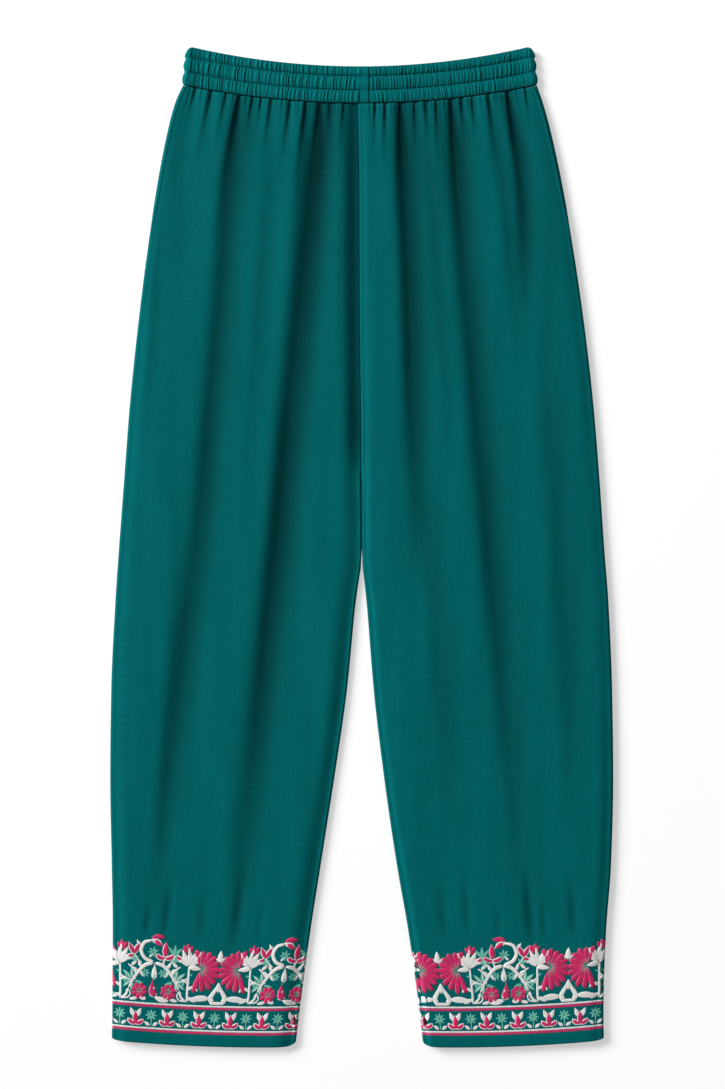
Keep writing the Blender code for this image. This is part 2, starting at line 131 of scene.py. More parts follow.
SECTIONS = (
    Section(0.0, -244.4, -65.0, 60.4, 236.7),
    Section(49.0, -244.1, -59.1, 54.8, 236.9),
    Section(115.0, -243.7, -50.0, 45.4, 239.4),
    Section(179.0, -244.7, -40.0, 34.3, 244.2),
    Section(264.0, -246.2, -26.7, 21.9, 246.3),
    Section(349.0, -245.2, -14.4, 11.8, 245.2),
    Section(435.0, -241.2, -5.9, 4.9, 241.6),
    Section(484.0, -237.9, 0.2, 0.2, 237.8),
    Section(559.0, -232.3, -0.2, -0.2, 232.6),
    Section(624.0, -227.4, -0.6, -0.6, 227.3),
    Section(689.0, -220.9, -1.6, -1.6, 220.2),
    Section(752.0, -213.3, -2.0, -2.0, 211.5),
    Section(842.0, -200.6, -2.2, -2.2, 196.9),
    Section(902.0, -188.8, -3.2, -3.2, 183.8),
    Section(926.0, -182.0, -4.0, -4.0, 176.9),
    Section(941.0, -175.1, -4.1, -4.1, 171.6),
)


@dataclass(frozen=True)
class Fold:
    """A long soft trough: where it starts, passes and ends, its depth and its half width."""

    top: float
    top_across: float
    middle: float
    middle_across: float
    low: float
    low_across: float
    depth: float
    half_width: float


FOLDS = (
    Fold(925.0, -118.0, 500.0, -158.0, 40.0, -214.0, 2.8, 13.0),
    Fold(925.0, -38.0, 560.0, -74.0, 20.0, -132.0, 4.6, 14.0),
    Fold(925.0, 40.0, 760.0, 47.0, 420.0, 58.0, 3.9, 11.0),
    Fold(925.0, 88.0, 560.0, 121.0, 40.0, 170.0, 3.2, 13.0),
    Fold(930.0, 144.0, 860.0, 157.0, 690.0, 164.0, 3.0, 9.0),
    Fold(905.0, 132.0, 800.0, 145.0, 640.0, 158.0, 1.4, 9.0),
    Fold(900.0, -182.0, 780.0, -196.0, 560.0, -210.0, 0.9, 10.0),
    Fold(880.0, -86.0, 700.0, -100.0, 430.0, -118.0, 0.8, 9.0),
    Fold(880.0, 66.0, 740.0, 78.0, 520.0, 92.0, 0.9, 9.0),
    Fold(640.0, 186.0, 420.0, 200.0, 150.0, 214.0, 1.3, 15.0),
    Fold(560.0, 62.0, 380.0, 78.0, 140.0, 92.0, 1.1, 13.0),
    Fold(420.0, -178.0, 280.0, -188.0, 130.0, -196.0, 1.0, 11.0),
)
FOLD_FADE_SHARE = 0.55
FOLD_STEEP_SIDE = 0.8
FOLD_GENTLE_SIDE = 1.25


@dataclass(frozen=True)
class Gather:
    """A gather let out of the waist seam: its place across, its length and its depth."""

    across: float
    length: float
    depth: float


GATHERS = (
    Gather(-162.8, 26.0, 0.9),
    Gather(-147.0, 42.0, 1.2),
    Gather(-132.5, 30.0, 1.0),
    Gather(-120.2, 85.0, 1.7),
    Gather(-106.5, 28.0, 0.9),
    Gather(-97.7, 20.0, 0.8),
    Gather(-87.9, 36.0, 1.2),
    Gather(-70.3, 40.0, 1.2),
    Gather(-54.9, 55.0, 1.7),
    Gather(-41.1, 85.0, 1.8),
    Gather(-31.1, 26.0, 1.0),
    Gather(-17.7, 30.0, 1.1),
    Gather(13.0, 24.0, 1.0),
    Gather(22.8, 38.0, 1.2),
    Gather(37.3, 80.0, 1.7),
    Gather(51.7, 36.0, 1.2),
    Gather(63.0, 26.0, 1.0),
    Gather(72.4, 38.0, 1.2),
    Gather(86.8, 85.0, 1.8),
    Gather(97.1, 34.0, 1.1),
    Gather(108.1, 28.0, 1.0),
    Gather(123.8, 42.0, 1.2),
    Gather(142.4, 65.0, 1.6),
    Gather(159.7, 26.0, 0.9),
)
GATHER_DEEPER = 2.0
GATHER_STEEP_SIDE = 0.75
GATHER_GENTLE_SIDE = 1.6
GATHER_START = 1.5
GATHER_SPREAD = 0.07
GATHER_WIDEST = 7.0
GATHER_FLARE = 0.0011
GATHER_FADE_POWER = 1.3
GATHERED_DOWN_TO = 660.0
PLEAT_PITCH = 4.3
PLEAT_HALF_WIDTH = 1.1
PLEAT_DEPTHS = (0.3, 1.2)
PLEAT_LENGTHS = (6.0, 20.0)
PLEAT_SEED = 11


@dataclass(frozen=True)
class Crease:
    """A short soft trough that fades at both ends."""

    top: float
    top_across: float
    low: float
    low_across: float
    depth: float
    half_width: float


# Small folds where the stiff border holds the cloth in
CREASES = (
    Crease(150.0, -205.0, 108.0, -211.0, 0.9, 4.0),
    Crease(176.0, -184.0, 102.0, -193.0, 1.0, 4.5),
    Crease(160.0, -152.0, 104.0, -157.0, 0.6, 5.0),
    Crease(196.0, -112.0, 98.0, -124.0, 1.3, 5.5),
    Crease(150.0, -96.0, 100.0, -101.0, 0.5, 4.0),
    Crease(168.0, 76.0, 104.0, 83.0, 0.8, 5.0),
    Crease(186.0, 100.0, 106.0, 105.0, 0.8, 4.5),
    Crease(150.0, 132.0, 102.0, 135.0, 0.5, 4.0),
    Crease(190.0, 160.0, 102.0, 167.0, 1.4, 5.0),
    Crease(158.0, 176.0, 104.0, 180.0, 0.7, 3.6),
    Crease(176.0, 204.0, 108.0, 209.0, 1.2, 5.0),
)


@dataclass(frozen=True)
class Ripple:
    """A faint wave of the cloth: its length across and along, its height and its start."""

    across: float
    along: float
    height: float
    start: float


RIPPLES = (
    Ripple(58.0, 610.0, 0.16, 0.4),
    Ripple(37.0, 430.0, 0.12, 2.1),
    Ripple(23.0, -350.0, 0.07, 4.0),
    Ripple(91.0, -520.0, 0.15, 1.2),
)


@dataclass(frozen=True)
class Spacing:
    """How far apart the rows of points on a front leg are, at a distance down from the waist seam."""

    down: float
    apart: float


ROW_SPACINGS = (
    Spacing(0.0, 0.9),
    Spacing(12.0, 2.0),
    Spacing(60.0, 4.6),
    Spacing(160.0, 10.0),
    Spacing(690.0, 11.0),
    Spacing(820.0, 4.6),
    Spacing(925.0, 2.8),
    Spacing(938.0, 0.8),
    Spacing(945.0, 0.6),
)
FRONT_COLUMNS = 310
BACK_COLUMNS = 90
BACK_ROW_COARSER = 1.9


@dataclass(frozen=True)
class Leg:
    """One leg: its side of the centre line, and how its front meets its inner edge."""

    name: str
    side: int
    inner_radius: float
    inner_ease: float
    centre_level: float
    plain_strip: float


LEGS = (
    Leg("left", -1, 2.3, 10.0, 2.3, 0.0),
    Leg("right", 1, 2.9, 3.6, 6.2, PLAIN_STRIP),
)


def smooth_curve(places: Array, values: Array, at: Array) -> Array:
    """Read a smooth curve through values given at rising places.

    Args:
        places: Rising places at which the values are given.
        values: The value at each place.
        at: Where to read the curve, of any shape.

    Returns:
        The curve's values, in the shape of at.
    """
    places = np.asarray(places, dtype=float)
    values = np.asarray(values, dtype=float)
    secants = np.diff(values) / np.diff(places)
    before = np.insert(secants, 0, secants[0])
    after = np.append(secants, secants[-1])
    turns = before * after <= 0.0
    slopes = np.where(turns, 0.0, 2.0 * before * after / np.where(turns, 1.0, before + after))
    left = np.clip(np.searchsorted(places, at) - 1, 0, len(places) - 2)
    span = places[left + 1] - places[left]
    t = np.clip((at - places[left]) / span, 0.0, 1.0)
    start = (1.0 + 2.0 * t) * (1.0 - t) ** 2 * values[left]
    start_slope = t * (1.0 - t) ** 2 * span * slopes[left]
    end = t * t * (3.0 - 2.0 * t) * values[left + 1]
    end_slope = t * t * (t - 1.0) * span * slopes[left + 1]
    return start + start_slope + end + end_slope


def smooth_step(low: float | Array, high: float | Array, at: float | Array) -> Array:
    """Rise softly from 0 at low to 1 at high."""
    t = np.clip((at - low) / (high - low), 0.0, 1.0)
    return t * t * (3.0 - 2.0 * t)


def soft_floor(level: Array, lowest: float) -> Array:
    """Keep a level above the lowest one, bending softly where it comes near."""
    return lowest + LEVEL_SOFTNESS * np.logaddexp(0.0, (level - lowest) / LEVEL_SOFTNESS)


def waist_seam_height(across: Array) -> Array:
    """Height of the seam between the waistband and the legs, which sags between the sides."""
    share = (across - BAND_CENTRE) / BAND_HALF_WIDTH
    return LENGTH - BAND_HEIGHT - BAND_SEAM_SAG * (1.0 - share**2)


def hem_height(share: Array) -> Array:
    """Height of the hem line, by the share of the leg's width in from the outline."""
    return HEM_RISE * (1.0 - share / HEM_LOWEST_SHARE) ** 2


def hem_corners(share: Array) -> Array:
    """How far the hem's round corners rise above the hem line."""
    outer = HEM_OUTER_CORNER * np.exp(-share / HEM_CORNER_SHARE)
    return outer + HEM_INNER_CORNER * np.exp((share - 1.0) / HEM_CORNER_SHARE)


class Relief:
    """The folds, gathers and creases of the cloth, as how far they raise or lower it."""

    def __init__(self) -> None:
        """Draw the small pleats under the waist seam once, from a fixed seed."""
        random = np.random.default_rng(PLEAT_SEED)
        count = int(2.0 * BAND_HALF_WIDTH / PLEAT_PITCH)
        places = BAND_CENTRE + (np.arange(count) + 0.5 - count / 2.0) * PLEAT_PITCH
        self.pleats = places + random.uniform(-1.4, 1.4, count)
        self.pleat_depths = random.uniform(*PLEAT_DEPTHS, count)
        self.pleat_lengths = random.uniform(*PLEAT_LENGTHS, count)

    def long_folds(self, across: Array, height: Array) -> Array:
        """How deep the long folds are."""
        depth = np.zeros_like(across)
        for fold in FOLDS:
            places = (fold.low, fold.middle, fold.top)
            values = (fold.low_across, fold.middle_across, fold.top_across)
            route = smooth_curve(places, values, height)
            fade_end = fold.low + FOLD_FADE_SHARE * (fold.top - fold.low)
            fade = smooth_step(fold.low, fade_end, height)
            fade *= 1.0 - 0.5 * smooth_step(fold.top - 40.0, fold.top + 20.0, height)
            half = fold.half_width * np.where(across < route, FOLD_STEEP_SIDE, FOLD_GENTLE_SIDE)
            depth += fold.depth * fade * np.exp(-(((across - route) / half) ** 2))
        return depth

    def short_creases(self, across: Array, height: Array) -> Array:
        """How deep the short creases are."""
        depth = np.zeros_like(across)
        for crease in CREASES:
            share = (crease.top - height) / (crease.top - crease.low)
            inside = (share > 0.0) & (share < 1.0)
            fade = np.where(inside, np.sin(math.pi * np.clip(share, 0.0, 1.0) ** 1.6), 0.0)
            route = crease.top_across + (crease.low_across - crease.top_across) * share
            depth += crease.depth * fade * np.exp(-(((across - route) / crease.half_width) ** 2))
        return depth

    def gathers(self, across: Array, height: Array) -> Array:
        """How deep the gathers below the waist seam are."""
        below = np.maximum(waist_seam_height(across) - height, 0.0)
        start_across = across / (1.0 + GATHER_FLARE * below)
        depth = np.zeros_like(across)
        for gather in GATHERS:
            half = np.minimum(GATHER_START + GATHER_SPREAD * below, GATHER_WIDEST)
            steep = start_across < gather.across
            half = half * np.where(steep, GATHER_STEEP_SIDE, GATHER_GENTLE_SIDE)
            fade = np.exp(-((below / gather.length) ** GATHER_FADE_POWER))
            trough = np.exp(-(((start_across - gather.across) / half) ** 2))
            depth += GATHER_DEEPER * gather.depth * fade * trough
        for place, deep, length in zip(self.pleats, self.pleat_depths, self.pleat_lengths):
            half = PLEAT_HALF_WIDTH + 0.05 * below
            fade = np.exp(-((below / length) ** 1.5))
            depth += deep * fade * np.exp(-(((start_across - place) / half) ** 2))
        return depth

    def at(self, across: Array, height: Array) -> Array:
        """How far the cloth is raised, below zero in a trough.

        Args:
            across: Places across the trousers.
            height: Heights of the same places.

        Returns:
            The raise at each place.
        """
        raised = -self.hollow(across, height)
        calm = smooth_step(95.0, 190.0, height)
        for ripple in RIPPLES:
            phase = 2.0 * math.pi * (across / ripple.across + height / ripple.along)
            raised += calm * ripple.height * np.sin(phase + ripple.start)
        return raised

    def hollow(self, across: Array, height: Array) -> Array:
        """How deep the folds, creases and gathers are together."""
        across, height = np.broadcast_arrays(across, height)
        depth = self.long_folds(across, height) + self.short_creases(across, height)
        high = height > GATHERED_DOWN_TO
        depth[high] += self.gathers(across[high], height[high])
        return depth


class LegForm:
    """The shape of one leg: a flattened tube, with its folds on the front."""

    INSEAM_RIDGE_INSET = 3.6
    INSEAM_RIDGE = 0.3
    INSEAM_RIDGE_HALF_WIDTH = 0.8
    SEAM_RIDGE = 0.45
    SEAM_RIDGE_HALF_WIDTH = 1.1
    HEM_DEPTH = 11.0
    HEM_THICKER = 0.3
    HEM_ROUND = 1.3
    CENTRE_HOLLOW = 0.5
    WAIST_TUCK = 1.5
    WAIST_TUCK_RUN = 1.3

    def __init__(self, leg: Leg, relief: Relief) -> None:
        """Keep the leg's own sizes and the folds that both legs share."""
        self.leg = leg
        self.relief = relief
        heights = [row.height for row in SECTIONS]
        self.heights = np.array(heights)
        self.outers = np.array([getattr(row, f"{leg.name}_outer") for row in SECTIONS])
        self.inners = np.array([getattr(row, f"{leg.name}_inner") for row in SECTIONS])

    def outer_edge(self, height: Array) -> Array:
        """Where the leg's outline lies across."""
        return smooth_curve(self.heights, self.outers, height)

    def inner_edge(self, height: Array) -> Array:
        """Where the leg's inner edge lies across."""
        edge = smooth_curve(self.heights, self.inners, height)
        return edge + self.leg.side * CENTRE_GAP / 2.0

    def width(self, height: Array) -> Array:
        """The leg's flat width."""
        return np.abs(self.outer_edge(height) - self.inner_edge(height))

    def below_crotch(self, height: Array) -> Array:
        """0 above the crotch, rising to 1 where the legs are separate tubes."""
        return smooth_step(0.0, CROTCH_RUN, CROTCH - height)

    def inner_radius(self, height: Array) -> Array:
        """The radius at which the leg turns over at its inner edge."""
        return CENTRE_RADIUS + (self.leg.inner_radius - CENTRE_RADIUS) * self.below_crotch(height)

    def inseam_angle(self, height: Array) -> Array:
        """How far round the inner edge the back comes."""
        return INSEAM_ANGLE * self.below_crotch(height)

    def seam_arc(self, height: Array) -> Array:
        """How far over the outline the side seam lies."""
        return SEAM_INSET * smooth_step(SEAM_INSET_END, SEAM_INSET_TOP, height)

    def across(self, inset: Array, height: Array) -> Array:
        """The place across the trousers of an inset."""
        return self.outer_edge(height) - self.leg.side * inset

    def front_level(self, inset: Array, height: Array) -> Array:
        """Level of the front's outer face between the leg's turned edges."""
        width = self.width(height)
        radius_in = self.inner_radius(height)
        at_waist = smooth_step(LENGTH - WAIST_EASE, LENGTH, height)
        full = CREST_LEVEL + (WAIST_LEVEL - CREST_LEVEL) * at_waist
        from_inner = width - radius_in - inset
        inside = smooth_step(0.0, 9.0, inset - EDGE_RADIUS) * smooth_step(0.0, 6.0, from_inner)
        raised = self.relief.at(self.across(inset, height), height)
        level = soft_floor(full + inside * raised, LOWEST_LEVEL)
        near_outer = np.exp(-(((inset - EDGE_RADIUS) / EDGE_EASE) ** 2))
        near_inner = np.exp(-((from_inner / self.leg.inner_ease) ** 2))
        low = self.leg.centre_level
        inner_level = low + (2.0 * self.leg.inner_radius - low) * self.below_crotch(height)
        level = level + (2.0 * EDGE_RADIUS - level) * near_outer
        level = level + (inner_level - level) * near_inner
        below = waist_seam_height(self.across(inset, height)) - height
        tuck = self.WAIST_TUCK * np.exp(-((np.maximum(below, 0.0) / self.WAIST_TUCK_RUN) ** 2))
        return level - tuck

    def hollow(self, arc: Array, height: Array) -> Array:
        """How deep the front lies in its folds and in the dip along the centre seam, as the depth by which
        shade is painted into its colour.
        """
        inset = self.front_skin(arc, height)[0]
        depth = self.relief.hollow(self.across(inset, height), height)
        from_inner = self.width(height) - self.inner_radius(height) - inset
        near_inner = np.exp(-((np.maximum(from_inner, 0.0) / self.leg.inner_ease) ** 2))
        # The dip along the centre seam, above the crotch, is darkened too, as painted shade
        dip = self.CENTRE_HOLLOW * (CREST_LEVEL - self.leg.centre_level)
        dip *= 1.0 - self.below_crotch(height)
        return depth + dip * near_inner

    def front_skin(self, arc: Array, height: Array) -> tuple[Array, Array]:
        """Insets and levels of the front's outer face, by the arc from the outline."""
        radius_in = self.inner_radius(height)
        top_run = self.width(height) - EDGE_RADIUS - radius_in
        angle = np.clip(QUARTER_TURN + arc / EDGE_RADIUS, 0.0, math.pi)
        over = np.clip(arc - EDGE_TURN, 0.0, top_run)
        beyond = np.maximum(arc - EDGE_TURN - top_run, 0.0) / radius_in
        edge_level = EDGE_RADIUS * (1.0 - np.cos(angle))
        level = self.front_level(EDGE_RADIUS + over, height)
        level = np.where(arc > EDGE_TURN, level, edge_level)
        back_angle = np.minimum(self.inseam_angle(height), QUARTER_TURN)
        seat = radius_in * (1.0 - np.cos(back_angle)) + 1.2 * np.cos(back_angle) + SEAM_GAP
        turned = seat + (level - seat) * np.cos(beyond)
        inset = EDGE_RADIUS * (1.0 - np.sin(angle)) + over + radius_in * np.sin(beyond)
        return inset, np.where(beyond > 0.0, turned, level)

    def back_skin(self, arc: Array, height: Array) -> tuple[Array, Array]:
        """Insets and levels of the back's outer face, by the arc down from the outline."""
        radius_in = self.inner_radius(height)
        reach = radius_in * np.sin(np.minimum(self.inseam_angle(height), QUARTER_TURN))
        flat_run = self.width(height) - EDGE_RADIUS - reach
        angle = np.clip(QUARTER_TURN - arc / EDGE_RADIUS, 0.0, math.pi)
        flat = np.clip(arc - EDGE_TURN, 0.0, flat_run)
        over = np.maximum(-arc - EDGE_TURN, 0.0)
        beyond = np.maximum(arc - EDGE_TURN - flat_run, 0.0) / radius_in
        lower = EDGE_RADIUS * (1.0 - np.cos(angle)) + radius_in * (1.0 - np.cos(beyond))
        lifted = UNDERSIDE * np.exp(-(((lower) / 1.5) ** 2))
        level = np.where(over > 0.0, self.front_level(EDGE_RADIUS + over, height), lower + lifted)
        inset = EDGE_RADIUS * (1.0 - np.sin(angle)) + flat + over + radius_in * np.sin(beyond)
        return inset, level

    def front_ridges(self, arc: Array, height: Array) -> Array:
        """How far the seams and the turned hem raise the front."""
        from_seam = arc - self.seam_arc(height)
        at_hips = smooth_step(SEAM_INSET_END - 40.0, SEAM_INSET_TOP, height)
        ridge = self.SEAM_RIDGE * at_hips * np.exp(-((from_seam / self.SEAM_RIDGE_HALF_WIDTH) ** 2))
        edge = self.front_reach(height) - arc - self.INSEAM_RIDGE_INSET
        inseam = self.INSEAM_RIDGE * np.exp(-((edge / self.INSEAM_RIDGE_HALF_WIDTH) ** 2))
        return ridge + inseam * self.below_crotch(height) + self.hem_thicker(arc, height)

    def hem_thicker(self, arc: Array, height: Array) -> Array:
        """How far the turned hem stands out, and rolls in at its lower edge."""
        share = np.clip(arc / self.front_reach(height), 0.0, 1.0)
        above = height - hem_height(share)
        thicker = self.HEM_THICKER * (1.0 - smooth_step(self.HEM_DEPTH - 1.2, self.HEM_DEPTH, above))
        into = np.clip(1.0 - above / self.HEM_ROUND, 0.0, 1.0)
        return thicker - self.HEM_ROUND * 0.7 * (1.0 - np.sqrt(1.0 - 0.98 * into**2))

    def front_reach(self, height: Array) -> Array:
        """Arc from the outline to the tip of the inner edge."""
        radius_in = self.inner_radius(height)
        top_run = self.width(height) - EDGE_RADIUS - radius_in
        return EDGE_TURN + top_run + radius_in * QUARTER_TURN

    def front_end(self, height: Array) -> Array:
        """Arc at which the front ends, at the inseam."""
        radius_in = self.inner_radius(height)
        turn_start = EDGE_TURN + self.width(height) - EDGE_RADIUS - radius_in
        angle = np.maximum(QUARTER_TURN, self.inseam_angle(height) + SEAM_GAP / radius_in)
        return turn_start + radius_in * (math.pi - angle)

    def back_end(self, height: Array) -> Array:
        """Arc at which the back ends, at the inseam."""
        radius_in = self.inner_radius(height)
        angle = self.inseam_angle(height)
        reach = radius_in * np.sin(np.minimum(angle, QUARTER_TURN))
        return EDGE_TURN + self.width(height) - EDGE_RADIUS - reach + radius_in * angle

    def surface(self, front: bool, arc: Array, height: Array, lift: Array | float = 0.0) -> Array:
        """Points on the front or the back of the leg, in millimetres.

        Args:
            front: Whether to read the front.
            arc: Arcs from the outline.
            height: Heights of the same places.
            lift: How far the points stand off the plain face.

        Returns:
            Points with a last axis of three: across, along and up.
        """
        skin = self.front_skin if front else self.back_skin
        facing = 1.0 if front else -1.0
        inset, level = skin(arc, height)
        inset_after, level_after = skin(arc + SLOPE_STEP, height)
        inset_before, level_before = skin(arc - SLOPE_STEP, height)
        run = inset_after - inset_before
        rise = level_after - level_before
        length = np.hypot(run, rise)
        if front:
            lift = lift + self.front_ridges(arc, height)
        inset = inset - facing * lift * rise / length
        level = level + facing * lift * run / length
        return np.stack((self.across(inset, height), height - LENGTH / 2.0, level), axis=-1)


@dataclass(frozen=True)
class Tuft:
    """The gathers of one channel of the waistband: places, heights, half widths and slants."""

    places: Array
    heights: Array
    halves: Array
    slants: Array


class BandForm:
    """The shape of the waistband: three channels, gathered by the elastic inside."""

    SWELL = 1.25
    SWELL_POWER = 0.55
    GATHER_PITCH = 3.3
    GATHER_FROM = 2.5
    GATHERS_GROW = (2.0, 6.5)
    RIDGE_LEVEL = 1.9
    GATHER_HEIGHTS = (0.1, 0.95)
    GATHER_HALVES = (0.7, 1.5)
    GATHER_SLANT = 1.6
    CREASE_DEPTH = 0.9
    CREASE_HALF = 0.42
    CREASE_BELOW = 0.12
    STITCH_DIP = 0.7
    STITCH_DIP_HALF = 0.6
    TOP_ROLL = 0.95
    STRIP_RAISE = 0.35
    STRIP_GROOVE = 0.9
    BACK_SHARE = 0.3

    def __init__(self, seed: int) -> None:
        """Draw the gathers of each channel and side once, from a fixed seed."""
        random = np.random.default_rng(seed)
        self.tufts = {}
        for side in (-1, 1):
            carried = np.array([])
            for channel in range(len(CHANNELS)):
                tuft = self.draw(random, side, carried)
                self.tufts[side, channel] = tuft
                carried = tuft.places

    def draw(self, random: np.random.Generator, side: int, carried: Array) -> Tuft:
        """Draw the gathers of a channel; some run on from the channel above."""
        span = BAND_HALF_WIDTH - self.GATHER_FROM - (PLAIN_STRIP if side > 0 else 0.0)
        count = int(span / self.GATHER_PITCH)
        places = self.GATHER_FROM + (np.arange(count) + 0.5) * span / count
        places = places + random.uniform(-1.5, 1.5, count)
        if len(carried):
            follow = random.random(count) < 0.55
            places = np.where(follow, carried + random.uniform(-0.5, 0.5, count), places)
        heights = random.uniform(*self.GATHER_HEIGHTS, count)
        halves = random.uniform(*self.GATHER_HALVES, count)
        slants = random.normal(0.0, 0.5, count) * self.GATHER_SLANT
        return Tuft(places, heights, halves, slants)

    def swell(self, down: Array) -> Array:
        """How far the channels swell between their stitch lines, from 0 to 1."""
        swell = np.zeros_like(down)
        top = 0.0
        for depth in CHANNELS:
            share = np.clip((down - top) / depth, 0.0, 1.0)
            swell = np.maximum(swell, np.sin(math.pi * share) ** self.SWELL_POWER)
            top += depth
        return np.nan_to_num(swell)

    def half_width(self, down: Array) -> Array:
        """Half the waistband's width: it narrows to the top and at each stitch line."""
        narrower = BAND_TOP_NARROWER * (1.0 - down / BAND_HEIGHT)
        return BAND_HALF_WIDTH - narrower - BAND_SIDE_BULGE * (1.0 - self.swell(down))

    def gathers(self, side: int, inset: Array, down: Array) -> Array:
        """How far the gathers raise the cloth, by the inset from the side."""
        raised = np.zeros_like(inset)
        top = 0.0
        for channel, depth in enumerate(CHANNELS):
            tuft = self.tufts[side, channel]
            share = np.clip((down - top) / depth, 0.0, 1.0)
            body = np.nan_to_num(np.sin(math.pi * share) ** 0.45)
            for place, high, half, slant in zip(
                tuft.places, tuft.heights, tuft.halves, tuft.slants
            ):
                route = place + slant * (share - 0.5)
                raised += high * body * np.exp(-(((inset - route) / half) ** 2))
                beside = (inset - route - 0.8 * half - self.CREASE_HALF) / self.CREASE_HALF
                deep = self.CREASE_BELOW + self.CREASE_DEPTH * high
                raised -= deep * body * np.exp(-(beside**2))
            top += depth
        return raised

    def front_relief(self, side: int, inset: Array, down: Array) -> Array:
        """How far the front stands off the plain waistband."""
        raised = self.SWELL * self.swell(down) + self.gathers(side, inset, down)
        top = 0.0
        for depth in CHANNELS:
            top += depth
            raised -= self.STITCH_DIP * np.exp(-(((down - top) / self.STITCH_DIP_HALF) ** 2))
        if side > 0:
            from_centre = self.half_width(down) - inset
            strip = 1.0 - smooth_step(PLAIN_STRIP - 0.8, PLAIN_STRIP, from_centre)
            plain = self.SWELL * self.swell(down) + self.STRIP_RAISE
            raised += (plain - raised) * strip
            groove = np.exp(-(((from_centre - PLAIN_STRIP - 0.2) / 0.7) ** 2))
            raised -= self.STRIP_GROOVE * groove
        return raised

    def skin(self, arc: Array) -> tuple[Array, Array]:
        """Insets and levels of the plain front, by the arc from the outline."""
        angle = np.clip(QUARTER_TURN + arc / EDGE_RADIUS, 0.0, math.pi)
        over = np.maximum(arc - EDGE_TURN, 0.0)
        swell = (2.0 * EDGE_RADIUS - BAND_LEVEL) * np.exp(-((over / EDGE_EASE) ** 2))
        edge_level = EDGE_RADIUS * (1.0 - np.cos(angle))
        level = np.where(over > 0.0, BAND_LEVEL + swell, edge_level)
        return EDGE_RADIUS * (1.0 - np.sin(angle)) + over, level

    def under_skin(self, arc: Array) -> tuple[Array, Array]:
        """Insets and levels of the back, by the arc down from the outline."""
        angle = np.clip(QUARTER_TURN - arc / EDGE_RADIUS, 0.0, math.pi)
        flat = np.maximum(arc - EDGE_TURN, 0.0)
        front_inset, front_level = self.skin(np.maximum(-arc, 0.0))
        inset = EDGE_RADIUS * (1.0 - np.sin(angle)) + flat
        level = EDGE_RADIUS * (1.0 - np.cos(angle))
        level = level + UNDERSIDE * np.exp(-((level / 1.5) ** 2))
        return np.where(arc < 0.0, front_inset, inset), np.where(arc < 0.0, front_level, level)

    def place(self, side: int, down: Array, inset: Array, level: Array, rise: Array) -> Array:
        """Points of the waistband, in millimetres, with its sagging top edge and round corners."""
        across = BAND_CENTRE + side * (self.half_width(down) - inset)
        down_share = np.clip(down / BAND_HEIGHT, 0.0, 1.0)
        reach = BAND_HALF_WIDTH - CORNER_INSET * (1.0 - down_share)
        share = np.clip((across - BAND_CENTRE) / reach, -1.0, 1.0)
        sag = BAND_TOP_SAG + (BAND_SEAM_SAG - BAND_TOP_SAG) * down_share
        corner = CORNER_DROP * np.exp(-inset / CORNER_RUN) * (1.0 - down_share) ** CORNER_FADE
        height = LENGTH - down - sag * (1.0 - share**2) - corner + rise
        return np.stack((across, height - LENGTH / 2.0, level), axis=-1)

    def relief(self, front: bool, side: int, arc: Array, down: Array) -> Array:
        """How far the channels and gathers raise the outer face."""
        arc, down = np.broadcast_arrays(arc, down)
        inset = (self.skin if front else self.under_skin)(arc)[0]
        bare = smooth_step(*self.GATHERS_GROW, np.abs(arc))
        plain = self.SWELL * self.swell(down)
        raised = plain + (self.front_relief(side, inset, down) - plain) * bare
        if front:
            return raised
        under = np.minimum(self.BACK_SHARE * raised, UNDERSIDE)
        return np.where(arc < 0.0, raised, under * smooth_step(0.0, 4.0, arc))

    def hollow(self, front: bool, side: int, arc: Array, down: Array) -> Array:
        """How deep the cloth lies between the gathers' ridges, by which shade is painted into the
        waistband's colour.
        """
        raised = self.relief(front, side, arc, down)
        return np.maximum(self.RIDGE_LEVEL - raised, 0.0) if front else np.zeros_like(raised)

    def surface(self, front: bool, side: int, arc: Array, down: Array, lift: float = 0.0) -> Array:
        """Points on the outer face of the waistband, in millimetres.

        Args:
            front: Whether to read the front.
            side: -1 for the left half and 1 for the right half.
            arc: Arcs from the outline.
            down: Distances down from the top edge.
            lift: How far the points stand off the face.

        Returns:
            Points with a last axis of three: across, along and up.
        """
        arc, down = np.broadcast_arrays(arc, down)
        inset, level = self.skin(arc) if front else self.under_skin(arc)
        raised = self.relief(front, side, arc, down)
        inset_after, level_after = (self.skin if front else self.under_skin)(arc + SLOPE_STEP)
        run = inset_after - inset
        rise = level_after - level
        length = np.hypot(run, rise)
        facing = 1.0 if front else -1.0
        out = raised + lift
        return self.place(
            side, down, inset - facing * out * rise / length, level + facing * out * run / length, 0.0
        )


class Outline(Enum):
    """The outlines that a pad of satin stitch can have."""

    LEAF = "leaf"
    PETAL = "petal"
    DROP = "drop"
    BAR = "bar"
    OVAL = "oval"


def outline_width(outline: Outline, t: float | Array) -> float | Array:
    """The share of its full width that a pad has, a share of its length along."""
    t = np.clip(t, 0.0, 1.0)
    ends = np.sqrt(np.clip(1.0 - (2.0 * t - 1.0) ** 8, 0.0, 1.0))
    shapes = {
        Outline.LEAF: np.sin(math.pi * t**0.85) ** 0.85,
        Outline.PETAL: (0.3 + 0.7 * np.sin(QUARTER_TURN * np.minimum(t / 0.68, 1.0)) ** 1.2) * ends,
        Outline.DROP: np.sin(QUARTER_TURN * np.minimum(t / 0.7, 1.0)) ** 1.5 * ends,
        Outline.BAR: 0.25 + 0.75 * ends,
        Outline.OVAL: np.sqrt(np.clip(1.0 - (2.0 * t - 1.0) ** 2, 0.0, 1.0)),
    }
    return np.maximum(shapes[outline], 0.07)


def deselect_all() -> None:
    """Leave object mode with nothing selected."""
    if bpy.context.mode != "OBJECT":
        bpy.ops.object.mode_set(mode="OBJECT")
    bpy.ops.object.select_all(action="DESELECT")


